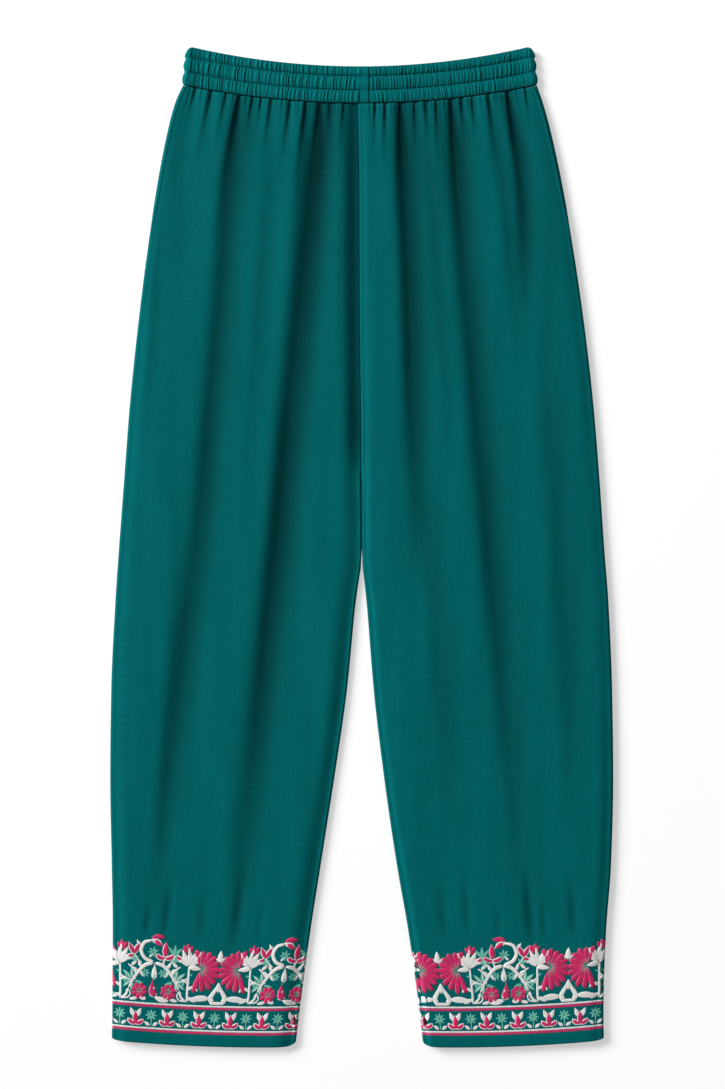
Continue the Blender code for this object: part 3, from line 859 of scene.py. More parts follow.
class Pad:
    """A pad of satin stitch, modelled once at unit size: flat below and crowned above."""

    SECTION = ((-1.0, 0.0), (-0.6, 0.75), (0.0, 1.0), (0.6, 0.75), (1.0, 0.0))
    CAP = 0.45

    def __init__(self, outline: Outline, steps: int) -> None:
        """Extrude the section along the pad, widening and narrowing it on the way.

        Args:
            outline: The outline to give the pad.
            steps: How many times to extrude it.
        """
        self.outline = outline
        deselect_all()
        bpy.ops.mesh.primitive_circle_add(
            vertices=len(self.SECTION), radius=1.0, fill_type="NGON", location=(0.0, 0.0, 0.0)
        )
        bar = bpy.context.object
        width = float(outline_width(outline, 0.0))
        crown = max(width, self.CAP)
        for vertex, (across, high) in zip(bar.data.vertices, self.SECTION):
            vertex.co = (across * width, 0.0, high * crown)
        bpy.ops.object.mode_set(mode="EDIT")
        bpy.ops.mesh.select_all(action="SELECT")
        for step in range(1, steps + 1):
            along = step / steps
            next_width = float(outline_width(outline, along))
            next_crown = min(1.0, max(next_width * 1.3, self.CAP))
            bpy.ops.mesh.extrude_region_move(
                TRANSFORM_OT_translate={"value": (0.0, 1.0 / steps, 0.0)}
            )
            bpy.ops.transform.resize(
                value=(next_width / width, 1.0, next_crown / crown),
                center_override=(0.0, along, 0.0),
            )
            width = next_width
            crown = next_crown
        bpy.ops.mesh.select_all(action="SELECT")
        bpy.ops.mesh.normals_make_consistent(inside=False)
        bpy.ops.object.mode_set(mode="OBJECT")
        self.points = np.array([vertex.co for vertex in bar.data.vertices], dtype=float)
        self.faces = [tuple(face.vertices) for face in bar.data.polygons]
        bpy.data.objects.remove(bar, do_unlink=True)
        self.across = self.points[:, 0] / outline_width(outline, self.points[:, 1])


class Thread(Enum):
    """The embroidery threads."""

    WHITE = "white_thread"
    PINK = "pink_thread"
    MINT = "mint_thread"


@dataclass(frozen=True)
class Leaf:
    """A leaf, petal or drop: where it starts, the way it points, its size and its bend.

    Angles are in degrees, 0 away from the motif's axis and 90 up the leg.
    """

    x: float
    y: float
    angle: float
    length: float
    width: float
    thread: Thread
    outline: Outline = Outline.LEAF
    bend: float = 0.0
    layer: int = 0
    edged: bool = False


@dataclass(frozen=True)
class Spray:
    """Leaves that fan out from one point, such as a palmette, a rosette or a tuft."""

    x: float
    y: float
    first: float
    last: float
    count: int
    length: float
    width: float
    thread: Thread
    outline: Outline = Outline.LEAF
    start: float = 1.0
    longer_middle: float = 0.0
    bend: float = 0.0
    layer: int = 0
    last_longer: float = 0.0


@dataclass(frozen=True)
class Stem:
    """A stem through a few points, with its width at each end."""

    points: tuple[tuple[float, float], ...]
    start_width: float
    end_width: float
    thread: Thread = Thread.WHITE
    layer: int = 0


W, P, M = Thread.WHITE, Thread.PINK, Thread.MINT
PETAL, DROP, OVAL, LEAF, BAR = (
    Outline.PETAL,
    Outline.DROP,
    Outline.OVAL,
    Outline.LEAF,
    Outline.BAR,
)

# The vine above the lines. Its repeat is mirrored about its axis, x = 0, and these are on both sides
VINE_BOTH = (
    Spray(17.8, 75.0, 74.0, 286.0, 11, 17.0, 5.4, P, PETAL, 2.0, -2.2, 0.0, 1, 5.0),
    Spray(17.8, 75.0, 84.0, 276.0, 9, 9.0, 0.7, M, LEAF, 0.6, -1.5, 0.0, 3),
    Leaf(29.5, 76.4, 186.0, 12.5, 5.4, W, LEAF, 0.0, 2),
    Stem(((29.4, 41.8), (29.8, 52.0), (29.4, 64.0), (29.2, 78.0)), 2.6, 2.2),
    Spray(29.0, 77.0, 42.0, 138.0, 5, 17.0, 5.6, W, LEAF, 0.0, 0.6, 0.0, 0),
    Leaf(27.5, 79.0, 122.0, 16.0, 5.2, W, LEAF, -24.0, 1),
    Spray(31.6, 90.5, 64.0, 128.0, 3, 8.4, 4.8, P, LEAF, 0.0, 1.2, 0.0, 2),
    Leaf(29.2, 88.0, 82.0, 9.5, 3.0, W, LEAF, 0.0, 3),
    Leaf(36.6, 84.0, 20.0, 5.2, 3.6, P, OVAL, 0.0, 1),
    Leaf(33.4, 82.0, 12.0, 9.0, 4.2, W, LEAF, 20.0, 0),
    Stem(((37.5, 53.0), (42.0, 62.0), (48.0, 71.0), (54.0, 77.0), (61.2, 79.2)), 2.0, 4.4, W, 1),
    Stem(((37.5, 53.0), (35.4, 47.0), (30.5, 42.4)), 2.2, 2.6, W, 1),
    Stem(((29.8, 66.0), (34.0, 63.0), (39.5, 61.5), (45.0, 63.0)), 1.6, 1.6, W, 1),
    Stem(((45.0, 67.5), (41.6, 73.0), (37.0, 76.5)), 2.0, 1.5, W, 1),
    Spray(41.5, 62.0, 96.0, 262.0, 5, 10.6, 4.6, M, LEAF, 1.0, 1.6, 0.0, 0),
    Spray(41.5, 62.0, 96.0, 262.0, 5, 8.6, 0.8, W, BAR, 1.0, 1.4, 0.0, 3),
    Leaf(42.6, 62.5, 62.0, 9.6, 4.2, M, LEAF, 0.0, 0),
    Leaf(43.6, 60.6, -14.0, 8.6, 3.8, M, LEAF, 0.0, 0),
    Spray(53.6, 69.0, 0.0, 308.0, 7, 4.3, 2.1, M, LEAF, 0.5, 0.0, 0.0, 0),
    Spray(48.2, 51.4, 30.0, 345.0, 8, 6.8, 4.3, P, PETAL, 0.8, 0.8, 0.0, 1),
    Spray(48.2, 51.4, 40.0, 330.0, 6, 3.8, 0.8, M, LEAF, 0.3, 0.0, 0.0, 3),
    Leaf(7.0, 46.6, -6.0, 22.0, 7.4, W, LEAF, -16.0, 0),
    Leaf(16.0, 44.6, 14.0, 15.0, 4.0, W, LEAF, 26.0, 0),
    Leaf(21.0, 42.6, 22.0, 10.0, 3.6, W, LEAF, -10.0, 0),
    Leaf(29.6, 54.0, 148.0, 7.4, 3.6, W, LEAF, 34.0, 0),
    Leaf(29.8, 60.5, 30.0, 7.4, 3.4, W, LEAF, -30.0, 0),
    Leaf(29.6, 67.5, 152.0, 5.2, 2.6, M, LEAF, 20.0, 0),
    Stem(((31.0, 43.0), (36.4, 43.6), (39.4, 47.6), (37.6, 51.6), (34.6, 50.4)), 2.0, 1.2),
    Leaf(34.2, 57.4, 92.0, 5.6, 2.8, M, LEAF, 0.0, 0),
    Leaf(38.4, 42.6, 14.0, 9.4, 3.8, W, LEAF, 18.0, 0),
    Leaf(54.6, 43.4, 156.0, 7.6, 3.8, W, LEAF, 20.0, 0),
    Leaf(46.6, 69.5, 152.0, 8.6, 3.8, W, LEAF, 35.0, 0),
    Leaf(50.6, 73.6, 118.0, 8.4, 3.8, W, LEAF, -30.0, 0),
    Leaf(48.6, 71.0, 306.0, 7.4, 3.4, W, LEAF, 30.0, 0),
    Leaf(39.6, 75.6, 44.0, 7.4, 3.8, W, LEAF, 25.0, 0),
    Leaf(43.4, 80.0, 100.0, 9.0, 3.8, M, LEAF, 0.0, 0),
    Leaf(43.4, 80.0, 140.0, 6.6, 3.0, M, LEAF, 0.0, 0),
    Leaf(43.4, 80.0, 58.0, 6.6, 3.0, M, LEAF, 0.0, 0),
    Leaf(22.4, 57.4, 240.0, 5.0, 2.6, W, LEAF, 0.0, 0),
)

# On the axis itself: an arched fleur at the foot and a small bud at the top
VINE_AXIS = (
    Stem(((-0.4, 62.5), (1.8, 56.6), (5.0, 51.4), (7.0, 46.8), (4.4, 42.6)), 2.6, 6.4),
    Stem(((0.4, 62.5), (-1.8, 56.6), (-5.0, 51.4), (-7.0, 46.8), (-4.4, 42.6)), 2.6, 6.4),
    Leaf(-7.5, 42.3, 0.0, 15.0, 3.4, W, BAR, 0.0, 0),
    Leaf(0.0, 52.5, 90.0, 10.0, 3.2, W, LEAF, 0.0, 1),
    Leaf(0.0, 81.8, 90.0, 12.0, 5.4, W, LEAF, 0.0, 1),
    Leaf(0.0, 82.6, 138.0, 6.2, 3.0, W, LEAF, 0.0, 0),
    Leaf(0.0, 82.6, 42.0, 6.2, 3.0, W, LEAF, 0.0, 0),
)

# Between two repeats, measured from the line halfway, where the motifs aren't mirrored
VINE_BETWEEN = (
    Leaf(0.0, 79.0, 270.0, 16.0, 6.4, W, DROP, 0.0, 0),
    Leaf(0.0, 69.0, 270.0, 4.0, 1.6, M, DROP, 0.0, 2),
    Leaf(1.4, 62.4, 262.0, 16.6, 7.4, P, DROP, -26.0, 1, True),
    Leaf(0.0, 55.4, 264.0, 1.9, 1.6, W, OVAL, 0.0, 3),
    Leaf(-1.0, 46.0, 192.0, 15.0, 6.4, W, LEAF, -26.0, 0),
    Spray(1.6, 89.5, 0.0, 308.0, 7, 5.0, 2.4, M, LEAF, 0.5, 0.0, 0.0, 0),
    Stem(((0.4, 79.6), (9.0, 83.0), (13.0, 91.0), (9.6, 99.0), (2.6, 101.0)), 3.8, 3.2, W, 1),
    Leaf(4.6, 101.6, 208.0, 13.5, 6.0, W, LEAF, 46.0, 0),
    Leaf(3.4, 103.4, 176.0, 12.5, 5.6, P, LEAF, 26.0, 2),
    Leaf(1.0, 101.2, 214.0, 9.5, 4.4, P, LEAF, 0.0, 2),
    Leaf(1.8, 102.4, 192.0, 7.6, 1.6, W, LEAF, 10.0, 3),
    Stem(((-8.0, 78.0), (-9.6, 84.0)), 2.0, 2.0),
    Leaf(-9.6, 85.5, 92.0, 14.0, 5.4, P, LEAF, 0.0, 2, True),
    Leaf(-9.6, 84.4, 150.0, 9.6, 4.2, P, OVAL, -90.0, 1, True),
    Leaf(-9.6, 84.4, 30.0, 9.6, 4.2, P, OVAL, 90.0, 1, True),
    Stem(((-13.5, 77.0), (-17.5, 83.0), (-19.0, 88.0)), 1.8, 1.4),
    Spray(-19.0, 87.0, 52.0, 128.0, 3, 10.0, 3.8, M, LEAF, 0.0, 1.0, 0.0, 0),
    Stem(((12.0, 78.0), (17.0, 83.0), (19.6, 88.0)), 2.0, 1.8),
    Leaf(19.6, 87.0, 116.0, 12.5, 4.8, P, LEAF, 0.0, 1, True),
    Leaf(19.6, 87.0, 64.0, 11.5, 4.6, P, LEAF, 0.0, 1, True),
    Leaf(13.6, 95.0, 60.0, 7.0, 3.2, W, LEAF, 24.0, 0),
    Leaf(5.0, 84.0, 128.0, 6.4, 3.0, W, LEAF, 24.0, 0),
    Leaf(7.0, 43.2, 18.0, 8.0, 3.6, W, LEAF, 30.0, 0),
)

# The lower band: a lotus bud, and between two buds a star on a short stem
BUD = (
    Leaf(-1.6, 25.4, 113.0, 9.6, 5.2, W, LEAF, 10.0, 0),
    Leaf(1.6, 25.4, 67.0, 9.6, 5.2, W, LEAF, -10.0, 0),
    Leaf(0.0, 19.4, 90.0, 11.4, 5.4, P, LEAF, 0.0, 2, True),
    Leaf(0.6, 20.2, 150.0, 9.4, 4.0, P, OVAL, -104.0, 1, True),
    Leaf(-0.6, 20.2, 30.0, 9.4, 4.0, P, OVAL, 104.0, 1, True),
)
STAR = (
    Spray(0.0, 27.8, -90.0, 225.0, 8, 5.5, 2.4, M, LEAF, 0.4, 0.0, 0.0, 1),
    Stem(((0.0, 22.6), (0.0, 17.4)), 1.4, 1.6, M),
    Leaf(-1.4, 17.6, 144.0, 6.6, 3.8, W, LEAF, 0.0, 0),
    Leaf(1.4, 17.6, 36.0, 6.6, 3.8, W, LEAF, 0.0, 0),
)


@dataclass(frozen=True)
class Line:
    """A satin line all round the hem: its height above the hem, its width and its thread."""

    height: float
    width: float
    thread: Thread


LINES = (
    Line(12.9, 2.6, P),
    Line(15.2, 1.9, W),
    Line(36.9, 2.6, P),
    Line(39.2, 1.9, W),
)


@dataclass
class Patch:
    """Points, faces and stitch coordinates collected for one mesh."""

    points: list[Array] = field(default_factory=list)
    faces: list[tuple[int, ...]] = field(default_factory=list)
    stitches: list[Array] = field(default_factory=list)
    shades: list[Array] = field(default_factory=list)
    count: int = 0

    def add(self, points: Array, faces: list[tuple[int, ...]], stitch: Array, shade: float) -> None:
        """Add a closed form with its stitch coordinates and its shade.

        Args:
            points: Points as (arc, height, lift).
            faces: Faces of the form.
            stitch: For each point: along and across in millimetres, and across from -1 to 1.
            shade: How much lighter or darker its thread is.
        """
        self.points.append(points)
        self.stitches.append(stitch)
        self.shades.append(np.full(len(points), shade))
        self.faces += [tuple(index + self.count for index in face) for face in faces]
        self.count += len(points)


class HemRing:
    """The way round a hem: across the front from the outline, and back behind."""

    def __init__(self, form: LegForm) -> None:
        """Measure the way round at the hem's own height."""
        self.form = form
        self.half = float(form.front_reach(np.array([30.0]))[0])
        self.length = 2.0 * self.half

    def points(self, way: Array, above: Array, lift: Array | float = 0.0) -> Array:
        """Points on the cloth, in millimetres.

        Args:
            way: Distances round the hem.
            above: Heights above the hem line.
            lift: How far the points stand off the cloth.

        Returns:
            Points with a last axis of three.
        """
        way = np.mod(way, self.length)
        on_front = way <= self.half
        share = np.where(on_front, way, self.length - way) / self.half
        height = hem_height(share) + above
        reach = self.form.front_reach(height)
        arc = share * reach
        end = self.form.front_end(height)
        front_side = on_front & (arc < end)
        back_arc = np.where(on_front, 2.0 * reach - arc, arc)
        front = self.form.surface(True, np.minimum(arc, end), height, lift)
        back = self.form.surface(False, back_arc, height, lift)
        return np.where(front_side[..., None], front, back)


class Embroidery:
    """The embroidered border round one hem, one mesh for each thread."""

    REPEATS = 3
    BUDS = 12
    BUD_START = 25.0
    SINK = 0.05
    CROWN = 0.13
    LAYER_RISE = 0.055
    EDGE_WIDTH = 1.15
    LINE_STEPS = 300
    LINE_WOBBLE = 0.16
    SHORT_STEPS = 7
    STEM_STEPS = 14

    def __init__(self, form: LegForm, axis: float, seed: int) -> None:
        """Set up the border.

        Args:
            form: The leg's shape.
            axis: Distance from the outline to the vine's first axis.
            seed: Seed of the small differences between the stitched pads.
        """
        self.ring = HemRing(form)
        self.name = form.leg.name
        self.axis = axis
        self.random = np.random.default_rng(seed)
        self.patches = {thread: Patch() for thread in Thread}
        self.pads: dict[tuple[Outline, int], Pad] = {}

    def pad(self, outline: Outline, steps: int) -> Pad:
        """The unit pad of an outline, modelled the first time that it is needed."""
        if (outline, steps) not in self.pads:
            self.pads[outline, steps] = Pad(outline, steps)
        return self.pads[outline, steps]

    def lay(self, pad: Pad, line: Array, width: Array | float, thread: Thread, layer: float) -> None:
        """Lay a pad along a line of the motif.

        Args:
            pad: The unit pad.
            line: Points (way, above) of the pad's midline, evenly spaced.
            width: Full width, for the whole pad or at each end.
            thread: Its thread.
            layer: How many pads it lies on.
        """
        lengths = np.concatenate(([0.0], np.cumsum(np.hypot(*np.diff(line, axis=0).T))))
        shares = lengths / lengths[-1]
        t = pad.points[:, 1]
        centre = np.stack([np.interp(t, shares, line[:, axis]) for axis in (0, 1)], axis=-1)
        slope = np.gradient(line, shares, axis=0)
        heading = np.stack([np.interp(t, shares, slope[:, axis]) for axis in (0, 1)], axis=-1)
        heading /= np.hypot(heading[:, 0], heading[:, 1])[:, None]
        sideways = np.stack((heading[:, 1], -heading[:, 0]), axis=-1)
        half = np.interp(t, (0.0, 1.0), np.broadcast_to(width, 2)) / 2.0
        spot = centre + sideways * (pad.points[:, 0] * half)[:, None]
        lift = pad.points[:, 2] * (self.CROWN + self.SINK) - self.SINK
        lift = lift + layer * self.LAYER_RISE
        stitch = np.stack((t * lengths[-1], pad.points[:, 0] * half, pad.across), axis=-1)
        points = np.column_stack((spot, lift))
        self.patches[thread].add(points, pad.faces, stitch, self.random.uniform(-1.0, 1.0))

    def leaf(self, leaf: Leaf, origin: float, mirror: int) -> None:
        """Stitch a leaf, and its white edge under it where it has one."""
        heading = np.radians(leaf.angle + leaf.bend * (np.linspace(0.0, 1.0, 9) - 0.5))
        step = leaf.length / 8.0
        x = leaf.x + np.concatenate(([0.0], np.cumsum(step * np.cos(heading[:-1]))))
        y = leaf.y + np.concatenate(([0.0], np.cumsum(step * np.sin(heading[:-1]))))
        line = np.column_stack((origin + mirror * x, y))
        if leaf.edged:
            ends = line[[0, -1]] - line[[-1, 0]]
            ends /= np.hypot(ends[:, 0], ends[:, 1])[:, None]
            longer = np.vstack((line[:1] + ends[:1], line[1:-1], line[-1:] + ends[1:]))
            wider = leaf.width + 2.0 * self.EDGE_WIDTH
            self.lay(self.pad(leaf.outline, self.SHORT_STEPS), longer, wider, W, -0.4)
        steps = self.SHORT_STEPS
        self.lay(self.pad(leaf.outline, steps), line, leaf.width, leaf.thread, leaf.layer)

    def spray(self, spray: Spray, origin: float, mirror: int) -> None:
        """Stitch the leaves of a spray."""
        for index, angle in enumerate(np.linspace(spray.first, spray.last, spray.count)):
            share = index / max(spray.count - 1, 1)
            longer = spray.longer_middle * math.sin(math.pi * share)
            longer += spray.last_longer * share
            uneven = self.random.uniform(-0.05, 0.05) * spray.length
            turned = math.radians(angle)
            leaf = Leaf(
                spray.x + spray.start * math.cos(turned),
                spray.y + spray.start * math.sin(turned),
                angle,
                spray.length + longer + uneven,
                spray.width,
                spray.thread,
                spray.outline,
                spray.bend + self.random.uniform(-5.0, 5.0),
                spray.layer + 0.25 * (index % 2),
            )
            self.leaf(leaf, origin, mirror)

    def stem(self, stem: Stem, origin: float, mirror: int) -> None:
        """Stitch a stem on a smooth curve through its points."""
        knots = np.array(stem.points)
        chords = np.concatenate(([0.0], np.cumsum(np.hypot(*np.diff(knots, axis=0).T))))
        at = np.linspace(0.0, chords[-1], 2 * self.STEM_STEPS + 1)
        x = smooth_curve(chords, knots[:, 0], at)
        y = smooth_curve(chords, knots[:, 1], at)
        line = np.column_stack((origin + mirror * x, y))
        widths = np.array((stem.start_width, stem.end_width))
        self.lay(self.pad(BAR, self.STEM_STEPS), line, widths, stem.thread, stem.layer)

    def motif(self, elements: tuple, origin: float, mirror: int = 1) -> None:
        """Stitch each element of a motif at an origin on the way round."""
        for element in elements:
            if isinstance(element, Leaf):
                self.leaf(element, origin, mirror)
            elif isinstance(element, Spray):
                self.spray(element, origin, mirror)
            else:
                self.stem(element, origin, mirror)

    def line(self, line: Line) -> None:
        """Stitch a satin line all round the hem, its edges a little uneven."""
        way = np.arange(self.LINE_STEPS) * self.ring.length / self.LINE_STEPS
        sides = len(Pad.SECTION)
        wobble = self.random.uniform(-self.LINE_WOBBLE, self.LINE_WOBBLE, (2, self.LINE_STEPS))
        points = []
        stitches = []
        for across, high in Pad.SECTION:
            edge = 1.0 + wobble[0 if across < 0.0 else 1]
            above = line.height + across * line.width / 2.0 * edge
            lift = np.full_like(way, high * (self.CROWN + self.SINK) - self.SINK)
            points.append(np.column_stack((way, above, lift)))
            flat = np.full_like(way, across * line.width / 2.0)
            stitches.append(np.column_stack((way, flat, np.full_like(way, across))))
        faces = []
        for here in range(self.LINE_STEPS):
            there = (here + 1) % self.LINE_STEPS
            for side in range(sides):
                after = (side + 1) % sides
                corners = (side, after, after, side)
                places = (here, here, there, there)
                faces.append(tuple(c * self.LINE_STEPS + p for c, p in zip(corners, places)))
        self.patches[line.thread].add(np.concatenate(points), faces, np.concatenate(stitches), 0.0)

    def draw(self) -> None:
        """Stitch the whole border."""
        for line in LINES:
            self.line(line)
        pitch = self.ring.length / self.BUDS
        for index in range(self.BUDS):
            self.motif(BUD, self.BUD_START + index * pitch)
            self.motif(STAR, self.BUD_START + (index + 0.5) * pitch)
        repeat = self.ring.length / self.REPEATS
        for index in range(self.REPEATS):
            axis = self.axis + index * repeat
            self.motif(VINE_AXIS, axis)
            for mirror in (-1, 1):
                self.motif(VINE_BOTH, axis, mirror)
            self.motif(VINE_BETWEEN, axis + repeat / 2.0, -1)

    def build(self, finishes: dict[Thread, bpy.types.Material]) -> list[bpy.types.Object]:
        """Make one mesh for each thread, on the cloth's surface.

        Args:
            finishes: The material of each thread.

        Returns:
            The embroidered pieces.
        """
        self.draw()
        made = []
        for thread, patch in self.patches.items():
            flat = np.concatenate(patch.points)
            way, above, lift = flat.T
            base = self.ring.points(way, above)
            step = 0.4
            along = self.ring.points(way + step, above) - self.ring.points(way - step, above)
            up = self.ring.points(way, above + step) - self.ring.points(way, above - step)
            normal = -self.ring.form.leg.side * np.cross(along, up)
            normal /= np.linalg.norm(normal, axis=-1)[:, None]
            points = base + normal * lift[:, None]
            points[:, 2] = np.maximum(points[:, 2], 0.02)
            name = f"embroidery_{thread.name.lower()}_{self.name}"
            piece = make_mesh(name, points, patch.faces, finishes[thread])
            store_vector(piece, "stitch", np.concatenate(patch.stitches))
            store_number(piece, "shade", np.concatenate(patch.shades))
            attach(piece, BODY)
            made.append(piece)
            LOG.info("%s: %d pads, %d faces", name, len(patch.points), len(patch.faces))
        return made


def make_mesh(
    name: str, points: Array, faces: list[tuple[int, ...]], material: bpy.types.Material
) -> bpy.types.Object:
    """Make a smooth mesh object from points in millimetres, with its faces turned outwards.

    Args:
        name: The piece's name.
        points: Points in millimetres.
        faces: Faces as point indices.
        material: Its material.

    Returns:
        The new object, in the scene.
    """
    mesh = bpy.data.meshes.new(name)
    mesh.from_pydata((points * MILLIMETRE).tolist(), [], faces)
    mesh.materials.append(material)
    piece = bpy.data.objects.new(name, mesh)
    bpy.context.scene.collection.objects.link(piece)
    turn_outwards(piece)
    mesh.shade_smooth()
    return piece


def turn_outwards(piece: bpy.types.Object) -> None:
    """Recalculate a closed mesh's normals so that they point out."""
    deselect_all()
    bpy.context.view_layer.objects.active = piece
    piece.select_set(True)
    bpy.ops.object.mode_set(mode="EDIT")
    bpy.ops.mesh.select_all(action="SELECT")
    bpy.ops.mesh.normals_make_consistent(inside=False)
    bpy.ops.object.mode_set(mode="OBJECT")
    piece.select_set(False)


def store_vector(piece: bpy.types.Object, name: str, values: Array) -> None:
    """Store a vector for each point of a mesh."""
    attribute = piece.data.attributes.new(name, "FLOAT_VECTOR", "POINT")
    attribute.data.foreach_set("vector", values.astype(np.float32).ravel())


def store_number(piece: bpy.types.Object, name: str, values: Array) -> None:
    """Store a number for each point of a mesh."""
    attribute = piece.data.attributes.new(name, "FLOAT", "POINT")
    attribute.data.foreach_set("value", values.astype(np.float32))


def sheet_of_cloth(
    name: str,
    points: Array,
    lay: Array,
    facing_up: bool,
    material: bpy.types.Material,
    thickness: float = CLOTH,
    hollow: Array | None = None,
) -> bpy.types.Object:
    """Shape a grid into a sheet of cloth and give it its thickness inwards.

    Args:
        name: The piece's name.
        points: Grid of points in millimetres, as rows, columns and three.
        lay: Grid of places on the flat cloth in millimetres, as rows, columns and two.
        facing_up: Whether the outer face of its first rows faces up.
        material: Its material.
        thickness: How thick the cloth is.
        hollow: Grid of how deep each point lies in a fold, by which the material paints shade into the
            colour, or nothing for cloth without folds.

    Returns:
        The finished piece.
    """
    rows, columns = points.shape[:2]
    deselect_all()
    bpy.ops.mesh.primitive_grid_add(x_subdivisions=columns - 1, y_subdivisions=rows - 1, size=2.0)
    piece = bpy.context.object
    piece.name = name
    mesh = piece.data
    mesh.name = name
    mesh.vertices.foreach_set("co", (points.reshape(-1, 3) * MILLIMETRE).astype(np.float32).ravel())
    mesh.update()
    normals = np.zeros(len(mesh.vertices) * 3, np.float32)
    mesh.vertices.foreach_get("normal", normals)
    middle = normals.reshape(rows, columns, 3)[: rows // 2, :, 2]
    if (float(np.sum(middle)) > 0.0) != facing_up:
        mesh.flip_normals()
    corners = np.zeros(len(mesh.loops), np.int32)
    mesh.loops.foreach_get("vertex_index", corners)
    places = (lay.reshape(-1, 2) * MILLIMETRE)[corners]
    mesh.uv_layers[0].uv.foreach_set("vector", places.astype(np.float32).ravel())
    mesh.materials.append(material)
    # Fold depths, which the material reads to paint shade in the folds
    store_number(piece, "hollow", (np.zeros(points.shape[:2]) if hollow is None else hollow).ravel())
    thick = piece.modifiers.new("thickness", "SOLIDIFY")
    thick.thickness = thickness * MILLIMETRE
    thick.offset = -1.0
    thick.use_even_offset = False
    bpy.ops.object.modifier_apply(modifier=thick.name)
    mesh.shade_smooth()
    mesh.set_sharp_from_angle(angle=math.radians(70.0))
    piece.select_set(False)
    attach(piece, BODY)
    LOG.info("%s: %d rows, %d columns, %d faces", name, rows, columns, len(mesh.polygons))
    return piece


def row_distances(length: float, coarser: float = 1.0) -> Array:
    """Distances down a leg at which it has a row of points."""
    downs = [spacing.down for spacing in ROW_SPACINGS]
    aparts = [spacing.apart for spacing in ROW_SPACINGS]
    rows = [0.0]
    while rows[-1] < length:
        rows.append(rows[-1] + coarser * float(np.interp(rows[-1], downs, aparts)))
    return np.array(rows) * length / rows[-1]


@dataclass(frozen=True)
class Cut:
    """The flat piece that a maker would cut: its width, its length and its area, in metres."""

    width: float
    length: float
    area: float


class LegPanel:
    """The cloth of one panel of a leg."""

    def __init__(self, form: LegForm, front: bool, cut: Cut) -> None:
        """Keep the leg's shape, which panel this is and how it was cut."""
        self.form = form
        self.front = front
        self.cut = cut

    def arcs(self, height: Array, shares: Array) -> Array:
        """Arc of each column at its own height."""
        seam = self.form.seam_arc(height)
        if self.front:
            start = seam + SEAM_GAP / 2.0
            end = self.form.front_end(height)
        else:
            start = -seam + SEAM_GAP / 2.0
            end = self.form.back_end(height)
        return start + shares * (end - start)

    def grid(self) -> tuple[Array, Array, Array]:
        """Points of the panel, their places on the flat cloth and their hollows, from the hem up."""
        form = self.form
        columns = FRONT_COLUMNS if self.front else BACK_COLUMNS
        t = np.linspace(0.0, 1.0, columns)
        shares = t - 0.15 * np.sin(2.0 * math.pi * t) / (2.0 * math.pi)
        skin = form.front_skin if self.front else form.back_skin
        top = np.full(columns, LENGTH - BAND_HEIGHT)
        hem = np.zeros(columns)
        width_share = shares
        for _ in range(SETTLING_PASSES):
            inset = skin(self.arcs(top, shares), top)[0]
            top = waist_seam_height(form.across(inset, top)) - SEAM_GAP
            width_share = skin(self.arcs(hem, shares), hem)[0] / form.width(hem)
            hem = hem_height(width_share)
        rows = row_distances(float(np.max(top)), 1.0 if self.front else BACK_ROW_COARSER)
        down = (rows / rows[-1])[::-1, None]
        height = top + (hem - top) * down + hem_corners(width_share) * down**HEM_CORNER_FADE
        arc = self.arcs(height, shares[None, :])
        points = form.surface(self.front, arc, height)
        lay = np.stack(np.broadcast_arrays(arc, height), axis=-1)
        # Fold depths of the front, for the shade painted into its colour
        hollow = form.hollow(arc, height) if self.front else np.zeros_like(arc)
        return points, lay, hollow

    def build(self, material: bpy.types.Material) -> bpy.types.Object:
        """Make the panel's cloth and let it stand for the frame's piece."""
        node = f"{'front' if self.front else 'back'}_{self.form.leg.name}"
        points, lay, hollow = self.grid()
        piece = sheet_of_cloth(f"{node}_cloth", points, lay, self.front, material, CLOTH, hollow)
        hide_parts(node)
        return piece


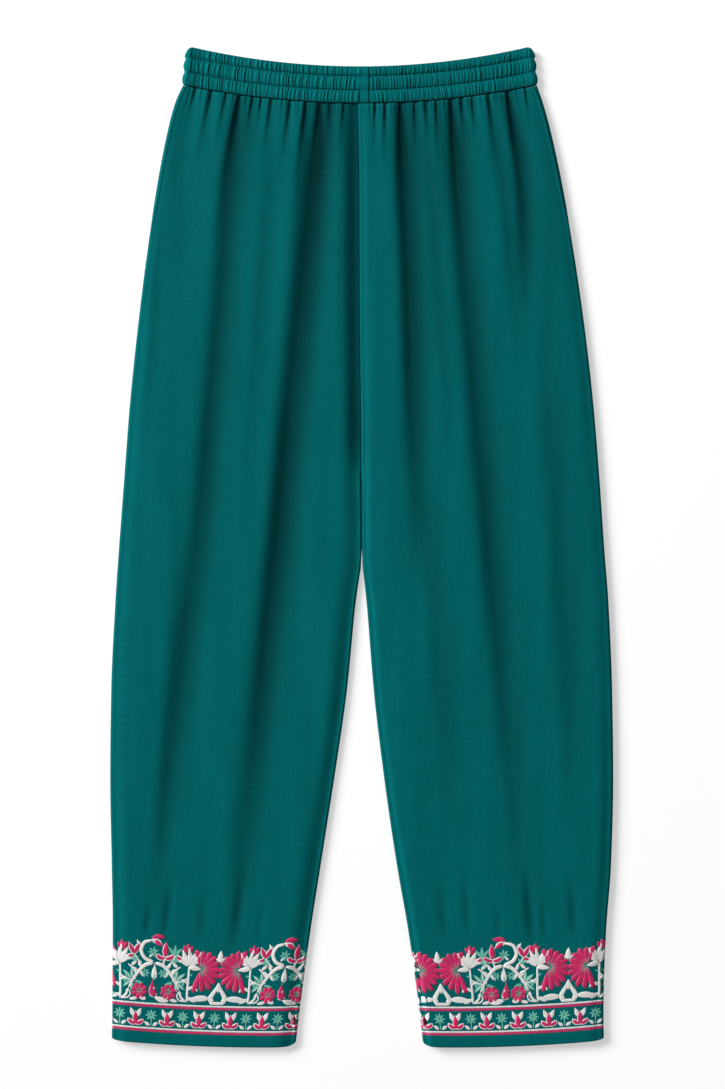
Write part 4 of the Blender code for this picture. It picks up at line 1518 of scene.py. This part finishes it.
class Waistband:
    """The gathered waistband: its two front halves, its back and their stitches."""

    OUTER_ROWS = 42
    BACK_OUTER_ROWS = 22
    ROLL_ROWS = 5
    INNER_ROWS = 3
    FRONT_COLUMNS = 500
    BACK_COLUMNS = 300
    LIP_DEPTHS = (1.8, 0.9)
    STITCH_LENGTH = 2.1
    STITCH_PITCH = 2.9
    STITCH_WIDTH = 0.55

    def __init__(self, form: BandForm) -> None:
        """Keep the waistband's shape."""
        self.form = form

    def profile(self, surface: Callable[[Array], Array], rows: int, turn: int) -> Array:
        """Rows of a waistband sheet: its tucked-in lip, its outer face, the roll and its inside.

        Args:
            surface: Points of the outer face at given distances down.
            rows: How many rows the outer face has.
            turn: 1 where the outer face is on the right of its columns' way, seen from the top
                edge, and -1 where it is on the left.

        Returns:
            Grid of points, from the seam up and over.
        """
        form = self.form
        downs = np.linspace(BAND_HEIGHT - SEAM_GAP, form.TOP_ROLL, rows)
        outer = surface(downs[:, None])
        seam_out = self.outwards(outer[0], turn)
        lip = [(outer[0] - seam_out * depth)[None] for depth in self.LIP_DEPTHS]
        crest = outer[-1]
        crest_out = self.outwards(crest, turn)
        up = np.array((0.0, 1.0, 0.0))
        rolled = []
        for angle in np.linspace(0.0, math.pi, self.ROLL_ROWS + 1)[1:]:
            above = up * form.TOP_ROLL * math.sin(angle)
            inside = crest_out * form.TOP_ROLL * (1.0 - math.cos(angle))
            rolled.append((crest + above - inside)[None])
        inner = []
        for share in np.linspace(0.0, 1.0, self.INNER_ROWS + 1)[1:]:
            inner.append(rolled[-1] - up * share * (BAND_HEIGHT - 3.0))
        return np.concatenate((*lip, outer, *rolled, *inner))

    def outwards(self, row: Array, turn: int) -> Array:
        """Directions straight out of a row of points, square to the trousers' length."""
        way = np.gradient(row, axis=0)
        way /= np.hypot(way[:, 0], way[:, 2])[:, None]
        return turn * np.column_stack((way[:, 2], np.zeros(len(row)), -way[:, 0]))

    def half(self, leg: Leg, material: bpy.types.Material) -> bpy.types.Object:
        """Make one half of the front."""
        form = self.form
        start = SEAM_INSET + SEAM_GAP / 2.0
        shares = np.linspace(0.0, 1.0, self.FRONT_COLUMNS)

        def arcs(down: Array) -> Array:
            """Arc of each column at distances down."""
            end = EDGE_TURN + form.half_width(down) - EDGE_RADIUS - SEAM_GAP / 2.0
            return start + shares * (end - start)

        def surface(down: Array) -> Array:
            """Outer face at distances down."""
            return form.surface(True, leg.side, arcs(down), down)

        points = self.profile(surface, self.OUTER_ROWS, leg.side)
        downs = np.linspace(BAND_HEIGHT - SEAM_GAP, form.TOP_ROLL, self.OUTER_ROWS)[:, None]
        # Depths between the gathers, for the shade painted into the waistband's colour
        hollow = form.hollow(True, leg.side, arcs(downs), downs)
        beyond = (len(self.LIP_DEPTHS), self.ROLL_ROWS + self.INNER_ROWS)
        hollow = np.pad(hollow, (beyond, (0, 0)), mode="edge")
        lay = self.flat_places(points)
        name = f"waistband_front_{leg.name}"
        piece = sheet_of_cloth(f"{name}_cloth", points, lay, True, material, 0.5, hollow)
        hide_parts(name)
        return piece

    def back(self, material: bpy.types.Material) -> bpy.types.Object:
        """Make the back, which turns up and over at both sides."""
        form = self.form
        start = -SEAM_INSET + SEAM_GAP / 2.0
        shares = np.linspace(0.0, 1.0, self.BACK_COLUMNS // 2)

        def surface(down: Array) -> Array:
            """Outer face at distances down."""
            end = EDGE_TURN + form.half_width(down) - EDGE_RADIUS
            arc = start + shares * (end - start)
            left = form.surface(False, -1, arc, down)
            right = form.surface(False, 1, arc, down)
            return np.concatenate((left, right[:, -2::-1]), axis=1)

        points = self.profile(surface, self.BACK_OUTER_ROWS, 1)
        lay = self.flat_places(points)
        piece = sheet_of_cloth("waistband_back_cloth", points, lay, False, material, 0.5)
        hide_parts("waistband_back")
        return piece

    def flat_places(self, points: Array) -> Array:
        """Places on the flat cloth: across as it lies, and along as it was cut."""
        steps = np.linalg.norm(np.diff(points, axis=0), axis=-1).mean(axis=1)
        along = np.concatenate(([0.0], np.cumsum(steps)))
        columns = np.linalg.norm(np.diff(points, axis=1), axis=-1).mean(axis=0)
        across = np.concatenate(([0.0], np.cumsum(columns)))
        return np.stack(np.meshgrid(across, along), axis=-1)

    def stitches(self, material: bpy.types.Material) -> bpy.types.Object:
        """Make the stitches along the three stitch lines."""
        form = self.form
        pad = Pad(BAR, 4)
        patch = Patch()
        lines = np.cumsum(CHANNELS)
        for side in (-1, 1):
            for down in lines:
                down = down - (1.0 if down > BAND_HEIGHT - 1.0 else 0.0)
                reach = BAND_HALF_WIDTH - 4.0
                for start in np.arange(SEAM_INSET + 2.0, reach, self.STITCH_PITCH):
                    arc = start + pad.points[:, 1] * self.STITCH_LENGTH
                    across = pad.points[:, 0] * self.STITCH_WIDTH / 2.0
                    lift = pad.points[:, 2] * 0.28 + 0.05
                    base = form.surface(True, side, arc, down + across)
                    base[:, 2] += lift
                    stitch = np.column_stack(
                        (pad.points[:, 1] * self.STITCH_LENGTH, across, pad.across)
                    )
                    patch.add(base, pad.faces, stitch, 0.0)
        name = "waistband_stitches"
        piece = make_mesh(name, np.concatenate(patch.points), patch.faces, material)
        store_vector(piece, "stitch", np.concatenate(patch.stitches))
        store_number(piece, "shade", np.concatenate(patch.shades))
        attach(piece, BODY)
        LOG.info("%s: %d stitches", name, len(patch.points))
        return piece


def linear(hex_colour: str) -> tuple[float, float, float, float]:
    """Turn an sRGB hex colour to a linear one."""
    values = [int(hex_colour[place : place + 2], 16) / 255.0 for place in (1, 3, 5)]
    bent = [v / 12.92 if v <= 0.04045 else ((v + 0.055) / 1.055) ** 2.4 for v in values]
    return (*bent, 1.0)


def add_node(
    tree: bpy.types.NodeTree, kind: str, settings: dict | None = None, **inputs: object
) -> bpy.types.Node:
    """Add a node to a material.

    Args:
        tree: The material's node tree.
        kind: The node's type.
        settings: Properties to set on the node.
        inputs: For each input, by its name with spaces as underscores, a value or an output socket.

    Returns:
        The new node.
    """
    node = tree.nodes.new(kind)
    for key, value in (settings or {}).items():
        setattr(node, key, value)
    for key, value in inputs.items():
        name = key.replace("_", " ")
        socket = node.inputs[int(key[1:])] if key[1:].isdigit() else node.inputs[name]
        if isinstance(value, bpy.types.NodeSocket):
            tree.links.new(value, socket)
        else:
            socket.default_value = value
    return node


@dataclass(frozen=True)
class WovenViscose:
    """A matt woven cloth of viscose and cotton: soft, slightly peached, with uneven yarns.

    The real yarns are about 0.35 mm apart, too fine to show from above, so the weave is drawn at
    thread_pitch. The eye sees a calm matt face with a faint mottle and a soft sheen where it turns.
    Shade is painted into its colour in the folds, the darker the deeper the fold.
    """

    name: str
    colour: str
    lighter: str
    darker: str
    roughness: float = 0.82
    thread_pitch: float = 1.5
    weave_depth: float = 0.10
    mottle_size: float = 1.6
    slub_length: float = 22.0
    slub_width: float = 1.1
    # Painted shade: how strongly the colour darkens with a fold's depth
    fold_shade_strength: float = 0.22
    sheen: float = 0.12
    sheen_roughness: float = 0.5
    sheen_tint: str = "#008A88"

    def material(self) -> bpy.types.Material:
        """Make the material."""
        material = bpy.data.materials.new(self.name)
        material.use_nodes = True
        tree = material.node_tree
        shader = tree.nodes["Principled BSDF"]
        shader.inputs["Roughness"].default_value = self.roughness
        shader.inputs["Sheen Weight"].default_value = self.sheen
        shader.inputs["Sheen Roughness"].default_value = self.sheen_roughness
        shader.inputs["Sheen Tint"].default_value = linear(self.sheen_tint)
        shader.inputs["Specular IOR Level"].default_value = 0.03
        place = add_node(tree, "ShaderNodeUVMap", {"uv_map": "UVMap"}).outputs["UV"]
        turns = 1.0 / (self.thread_pitch * MILLIMETRE)
        warp = self.yarns(tree, place, (turns, 0.0))
        weft = self.yarns(tree, place, (0.0, turns))
        weave = add_node(tree, "ShaderNodeMath", {"operation": "MULTIPLY"}, _0=warp, _1=weft)
        mottle = self.noise(tree, place, self.mottle_size, self.mottle_size, 3.0)
        slub = self.noise(tree, place, self.slub_width, self.slub_length, 1.0)
        cross_slub = self.noise(tree, place, self.slub_length, self.slub_width, 1.0)
        streaks = add_node(tree, "ShaderNodeMath", {"operation": "ADD"}, _0=slub, _1=cross_slub)
        wide = self.noise(tree, place, 60.0, 90.0, 2.0)
        fleck = add_node(
            tree, "ShaderNodeMath", {"operation": "MULTIPLY_ADD"}, _0=streaks.outputs[0], _1=0.5, _2=mottle
        )
        tone = add_node(
            tree,
            "ShaderNodeMapRange",
            {"clamp": True},
            Value=fleck.outputs[0],
            From_Min=0.55,
            From_Max=1.45,
        )
        soft = add_node(
            tree, "ShaderNodeMapRange", {"clamp": True}, Value=wide, From_Min=0.3, From_Max=0.7
        )
        base = self.mix(tree, soft.outputs[0], linear(self.darker), linear(self.colour))
        toned = self.mix(tree, tone.outputs[0], base, linear(self.lighter), 0.8)
        # Painted shade: the colour darkens in the folds by their depth
        fold_shaded = self.paint_fold_shade(tree, toned)
        tree.links.new(fold_shaded, shader.inputs["Base Color"])
        height = add_node(
            tree,
            "ShaderNodeMath",
            {"operation": "MULTIPLY_ADD"},
            _0=mottle,
            _1=0.6,
            _2=weave.outputs[0],
        )
        bump = add_node(
            tree,
            "ShaderNodeBump",
            Strength=1.0,
            Distance=self.weave_depth * MILLIMETRE,
            Height=height.outputs[0],
        )
        tree.links.new(bump.outputs["Normal"], shader.inputs["Normal"])
        return material

    def paint_fold_shade(
        self, tree: bpy.types.NodeTree, colour: bpy.types.NodeSocket
    ) -> bpy.types.NodeSocket:
        """Darken the colour by each fold's depth: painted shade for the light that the folds keep out."""
        hollow = add_node(tree, "ShaderNodeAttribute", {"attribute_name": "hollow"}).outputs["Fac"]
        scaled = add_node(
            tree, "ShaderNodeMath", {"operation": "MULTIPLY"}, _0=hollow, _1=-self.fold_shade_strength
        )
        share = add_node(tree, "ShaderNodeMath", {"operation": "EXPONENT"}, _0=scaled.outputs[0])
        fold_shaded = add_node(
            tree,
            "ShaderNodeMix",
            {"data_type": "RGBA", "blend_type": "MULTIPLY"},
            Factor=1.0,
            _6=colour,
            _7=share.outputs[0],
        )
        return fold_shaded.outputs[2]

    def yarns(
        self, tree: bpy.types.NodeTree, place: bpy.types.NodeSocket, turns: tuple[float, float]
    ) -> bpy.types.NodeSocket:
        """Rows of yarn, from 0 between two yarns to 1 on top of one."""
        spread = add_node(
            tree, "ShaderNodeVectorMath", {"operation": "MULTIPLY"}, _0=place, _1=(*turns, 0.0)
        )
        along = add_node(tree, "ShaderNodeSeparateXYZ", Vector=spread.outputs[0])
        total = add_node(
            tree, "ShaderNodeMath", {"operation": "ADD"}, _0=along.outputs[0], _1=along.outputs[1]
        )
        saw = add_node(tree, "ShaderNodeMath", {"operation": "PINGPONG"}, _0=total.outputs[0], _1=0.5)
        return add_node(
            tree, "ShaderNodeMath", {"operation": "MULTIPLY"}, _0=saw.outputs[0], _1=2.0
        ).outputs[0]

    def noise(
        self,
        tree: bpy.types.NodeTree,
        place: bpy.types.NodeSocket,
        across: float,
        along: float,
        detail: float,
    ) -> bpy.types.NodeSocket:
        """Soft noise whose spots have the given size in millimetres."""
        sizes = (1.0 / (across * MILLIMETRE), 1.0 / (along * MILLIMETRE), 1.0)
        spread = add_node(
            tree, "ShaderNodeVectorMath", {"operation": "MULTIPLY"}, _0=place, _1=sizes
        )
        spots = add_node(
            tree, "ShaderNodeTexNoise", Vector=spread.outputs[0], Scale=1.0, Detail=detail
        )
        return spots.outputs["Fac"]

    def mix(
        self,
        tree: bpy.types.NodeTree,
        share: bpy.types.NodeSocket,
        first: object,
        second: object,
        most: float = 1.0,
    ) -> bpy.types.NodeSocket:
        """Mix two colours by a share, up to the most of the second."""
        scaled = add_node(tree, "ShaderNodeMath", {"operation": "MULTIPLY"}, _0=share, _1=most)
        mixed = add_node(
            tree, "ShaderNodeMix", {"data_type": "RGBA"}, Factor=scaled.outputs[0], _6=first, _7=second
        )
        return mixed.outputs[2]


@dataclass(frozen=True)
class SatinThread:
    """Shiny embroidery thread laid side by side in satin stitch.

    The real threads are about 0.4 mm apart, too fine to show from above, so they are drawn at
    thread_pitch. The eye sees a soft shine across fine slanting ridges, with shade painted into the
    grooves between them, and a dark split down the middle of each petal where the stitches meet.
    """

    name: str
    colour: str
    deeper: str
    split: str
    split_strength: float
    thread_pitch: float = 0.9
    thread_depth: float = 0.09
    slant: float = 0.7
    roughness: float = 0.5
    sheen: float = 0.15

    def material(self) -> bpy.types.Material:
        """Make the material."""
        material = bpy.data.materials.new(self.name)
        material.use_nodes = True
        tree = material.node_tree
        shader = tree.nodes["Principled BSDF"]
        shader.inputs["Roughness"].default_value = self.roughness
        shader.inputs["Sheen Weight"].default_value = self.sheen
        shader.inputs["Specular IOR Level"].default_value = 0.4
        stitch = add_node(tree, "ShaderNodeAttribute", {"attribute_name": "stitch"}).outputs["Vector"]
        shade = add_node(tree, "ShaderNodeAttribute", {"attribute_name": "shade"}).outputs["Fac"]
        parts = add_node(tree, "ShaderNodeSeparateXYZ", Vector=stitch)
        out = add_node(tree, "ShaderNodeMath", {"operation": "ABSOLUTE"}, _0=parts.outputs[1])
        slanted = add_node(
            tree,
            "ShaderNodeMath",
            {"operation": "MULTIPLY_ADD"},
            _0=out.outputs[0],
            _1=self.slant,
            _2=parts.outputs[0],
        )
        turns = add_node(
            tree, "ShaderNodeMath", {"operation": "DIVIDE"}, _0=slanted.outputs[0], _1=self.thread_pitch
        )
        ridge = add_node(
            tree, "ShaderNodeMath", {"operation": "PINGPONG"}, _0=turns.outputs[0], _1=0.5
        )
        uneven = add_node(tree, "ShaderNodeTexNoise", Vector=stitch, Scale=0.9, Detail=2.0)
        deep = add_node(
            tree,
            "ShaderNodeMath",
            {"operation": "MULTIPLY_ADD", "use_clamp": True},
            _0=shade,
            _1=0.3,
            _2=uneven.outputs["Fac"],
        )
        body = add_node(
            tree,
            "ShaderNodeMix",
            {"data_type": "RGBA"},
            Factor=deep.outputs[0],
            _6=linear(self.colour),
            _7=linear(self.deeper),
        )
        middle = add_node(
            tree, "ShaderNodeMath", {"operation": "ABSOLUTE"}, _0=parts.outputs[2]
        )
        at_split = add_node(
            tree,
            "ShaderNodeMapRange",
            {"clamp": True, "interpolation_type": "SMOOTHSTEP"},
            Value=middle.outputs[0],
            From_Min=0.04,
            From_Max=0.26,
            To_Min=self.split_strength,
            To_Max=0.0,
        )
        coloured = add_node(
            tree,
            "ShaderNodeMix",
            {"data_type": "RGBA"},
            Factor=at_split.outputs[0],
            _6=body.outputs[2],
            _7=linear(self.split),
        )
        # Painted shade: the colour darkens in the grooves between the threads
        groove = add_node(
            tree,
            "ShaderNodeMapRange",
            {"clamp": True},
            Value=ridge.outputs[0],
            From_Min=0.0,
            From_Max=0.35,
            To_Min=0.72,
            To_Max=1.0,
        )
        final = add_node(
            tree,
            "ShaderNodeMix",
            {"data_type": "RGBA", "blend_type": "MULTIPLY"},
            Factor=1.0,
            _6=coloured.outputs[2],
            _7=groove.outputs[0],
        )
        tree.links.new(final.outputs[2], shader.inputs["Base Color"])
        bump = add_node(
            tree,
            "ShaderNodeBump",
            Strength=1.0,
            Distance=self.thread_depth * MILLIMETRE,
            Height=ridge.outputs[0],
        )
        tree.links.new(bump.outputs["Normal"], shader.inputs["Normal"])
        return material


@dataclass(frozen=True)
class LitTable:
    """The matt white acrylic of a light table, which glows a little and keeps shadows pale."""

    name: str = "white_acrylic_table"
    colour: str = "#B3B3B3"
    glow: float = 0.5
    roughness: float = 0.95

    def material(self) -> bpy.types.Material:
        """Make the material."""
        material = bpy.data.materials.new(self.name)
        material.use_nodes = True
        tree = material.node_tree
        shader = tree.nodes["Principled BSDF"]
        shader.inputs["Roughness"].default_value = self.roughness
        shader.inputs["Specular IOR Level"].default_value = 0.1
        shader.inputs["Base Color"].default_value = linear(self.colour)
        shader.inputs["Emission Color"].default_value = linear("#FFFFFF")
        shader.inputs["Emission Strength"].default_value = self.glow
        return material


@dataclass(frozen=True)
class Studio:
    """The floor, the soft light from the upper left and the camera straight above."""

    scale: float = 0.98
    picture_height: float = 1089.0
    frame_across: float = 0.8
    frame_along: float = 2.6
    lens: float = 100.0
    sensor: float = 36.0
    floor_size: float = 12.0
    sun_strength: float = 5.1
    sun_elevation: float = 26.0
    sun_azimuth: float = 152.0
    sun_softness: float = 24.0
    sky_strength: float = 0.2
    box_power: float = 11.0
    box_size: float = 0.7
    box_place: tuple[float, float, float] = (-0.9, 0.9, 1.0)

    def build(self) -> None:
        """Make the floor, the lights and the camera."""
        deselect_all()
        bpy.ops.mesh.primitive_plane_add(size=self.floor_size)
        floor = bpy.context.object
        floor.name = "studio_floor"
        floor.data.materials.append(LitTable().material())
        self.light()
        self.camera()

    def light(self) -> None:
        """One soft low sun, a soft box at the upper left and an even pale sky."""
        data = bpy.data.lights.new("window_light", "SUN")
        data.energy = self.sun_strength
        data.angle = math.radians(self.sun_softness)
        sun = bpy.data.objects.new("window_light", data)
        tilt = math.radians(90.0 - self.sun_elevation)
        turn = math.radians(self.sun_azimuth + 90.0)
        sun.rotation_euler = (tilt, 0.0, turn)
        bpy.context.scene.collection.objects.link(sun)
        box_data = bpy.data.lights.new("soft_box", "AREA")
        box_data.energy = self.box_power
        box_data.size = self.box_size
        box = bpy.data.objects.new("soft_box", box_data)
        box.location = self.box_place
        box.rotation_euler = (-Vector(self.box_place)).to_track_quat("-Z", "Y").to_euler()
        bpy.context.scene.collection.objects.link(box)
        world = bpy.data.worlds.new("pale_sky")
        world.use_nodes = True
        sky = world.node_tree.nodes["Background"]
        sky.inputs["Color"].default_value = linear("#FFFFFF")
        sky.inputs["Strength"].default_value = self.sky_strength
        bpy.context.scene.world = world
        bpy.context.scene.view_settings.view_transform = "Standard"

    def camera(self) -> None:
        """A camera straight above, with the waist at the top of the picture."""
        data = bpy.data.cameras.new("camera_above")
        data.lens = self.lens
        data.sensor_width = self.sensor
        height = self.picture_height * self.scale * MILLIMETRE
        camera = bpy.data.objects.new("camera_above", data)
        distance = height * self.lens / self.sensor
        across = self.frame_across * MILLIMETRE
        along = self.frame_along * MILLIMETRE
        camera.location = (across, along, distance)
        data.clip_end = 4.0 * distance
        bpy.context.scene.collection.objects.link(camera)
        bpy.context.scene.camera = camera


class SeamAllowances:
    """The pressed-open allowances of the centre and waist seams, seen only as what closes the seams."""

    LEVEL = 1.5
    THICKNESS = 0.22
    HALF_WIDTH = 5.0
    STEP = 6.0

    def __init__(self, forms: dict[str, LegForm]) -> None:
        """Keep the two legs' shapes."""
        self.forms = forms

    def ribbon(self, name: str, middle: Array, material: bpy.types.Material) -> bpy.types.Object:
        """Make a flat ribbon of cloth along a line.

        Args:
            name: The piece's name.
            middle: Points (across, along) of its middle line, in millimetres.
            material: Its material.

        Returns:
            The ribbon.
        """
        way = np.gradient(middle, axis=0)
        way /= np.hypot(way[:, 0], way[:, 1])[:, None]
        side = np.column_stack((-way[:, 1], way[:, 0])) * self.HALF_WIDTH
        rows = [middle + side * share for share in (-1.0, 0.0, 1.0)]
        points = np.stack([np.column_stack((row, np.full(len(row), self.LEVEL))) for row in rows])
        lay = points[..., :2]
        piece = sheet_of_cloth(name, points, lay, True, material, self.THICKNESS)
        return piece

    def build(self, material: bpy.types.Material) -> list[bpy.types.Object]:
        """Make both ribbons."""
        height = np.arange(CROTCH - 12.0, LENGTH - BAND_HEIGHT - BAND_SEAM_SAG, self.STEP)
        left, right = self.forms["left"], self.forms["right"]
        centre = (left.inner_edge(height) + right.inner_edge(height)) / 2.0
        rise = np.column_stack((centre, height - LENGTH / 2.0))
        across = np.arange(-1.0, 1.001, 0.03) * (BAND_HALF_WIDTH - 6.0) + BAND_CENTRE
        round_waist = np.column_stack((across, waist_seam_height(across) - LENGTH / 2.0 - 1.5))
        return [
            self.ribbon("centre_seam_allowance", rise, material),
            self.ribbon("waist_seam_allowance", round_waist, material),
        ]


class Trousers:
    """The whole garment: its cloth pieces, its stitches and its embroidered borders."""

    LEG_CUT = Cut(0.27, 0.96, 0.235)
    BAND_CUT = Cut(0.215, 0.08, 0.0172)
    BACK_BAND_CUT = Cut(0.42, 0.08, 0.0336)
    VINE_AXES = {"left": 103.9, "right": 36.0}

    def __init__(self) -> None:
        """Make the finishes."""
        teal = WovenViscose("woven_viscose_teal", "#004F51", "#006568", "#00494B")
        under = WovenViscose("woven_viscose_teal_back", "#004D4F", "#006063", "#00474A")
        band = WovenViscose("woven_viscose_teal_gathered", "#00585A", "#006C6E", "#005254")
        self.teal = teal.material()
        self.under = under.material()
        self.band = band.material()
        self.threads = {
            Thread.WHITE: SatinThread(
                "satin_thread_white", "#E6E3DE", "#CFCFCD", "#B9BCC0", 0.35
            ).material(),
            Thread.PINK: SatinThread(
                "satin_thread_pink", "#D6125E", "#B4104F", "#6A3468", 0.5
            ).material(),
            Thread.MINT: SatinThread(
                "satin_thread_mint", "#55AD9C", "#3F937F", "#9CD3C4", 0.55
            ).material(),
        }
        self.sewing = SatinThread(
            "sewing_thread_teal", "#00484B", "#003C3F", "#003034", 0.0, roughness=0.9, sheen=0.0
        ).material()

    def build(self) -> None:
        """Make every piece."""
        relief = Relief()
        forms = {leg.name: LegForm(leg, relief) for leg in LEGS}
        borders = {
            name: Embroidery(form, self.VINE_AXES[name], 3).build(self.threads)
            for name, form in forms.items()
        }
        borders["left"] += SeamAllowances(forms).build(self.under)
        for name, form in forms.items():
            front = LegPanel(form, True, self.LEG_CUT).build(self.teal)
            back = LegPanel(form, False, self.LEG_CUT).build(self.under)
        waistband = Waistband(BandForm(7))
        under = waistband.back(self.band)
        stitches = waistband.stitches(self.sewing)
        for leg in LEGS:
            half = waistband.half(leg, self.band)


def main() -> None:
    """Build the trousers on their frame."""
    logging.basicConfig(level=logging.INFO, format="%(name)s: %(message)s")
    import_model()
    Studio().build()
    Trousers().build()


if __name__ == "__main__":
    main()
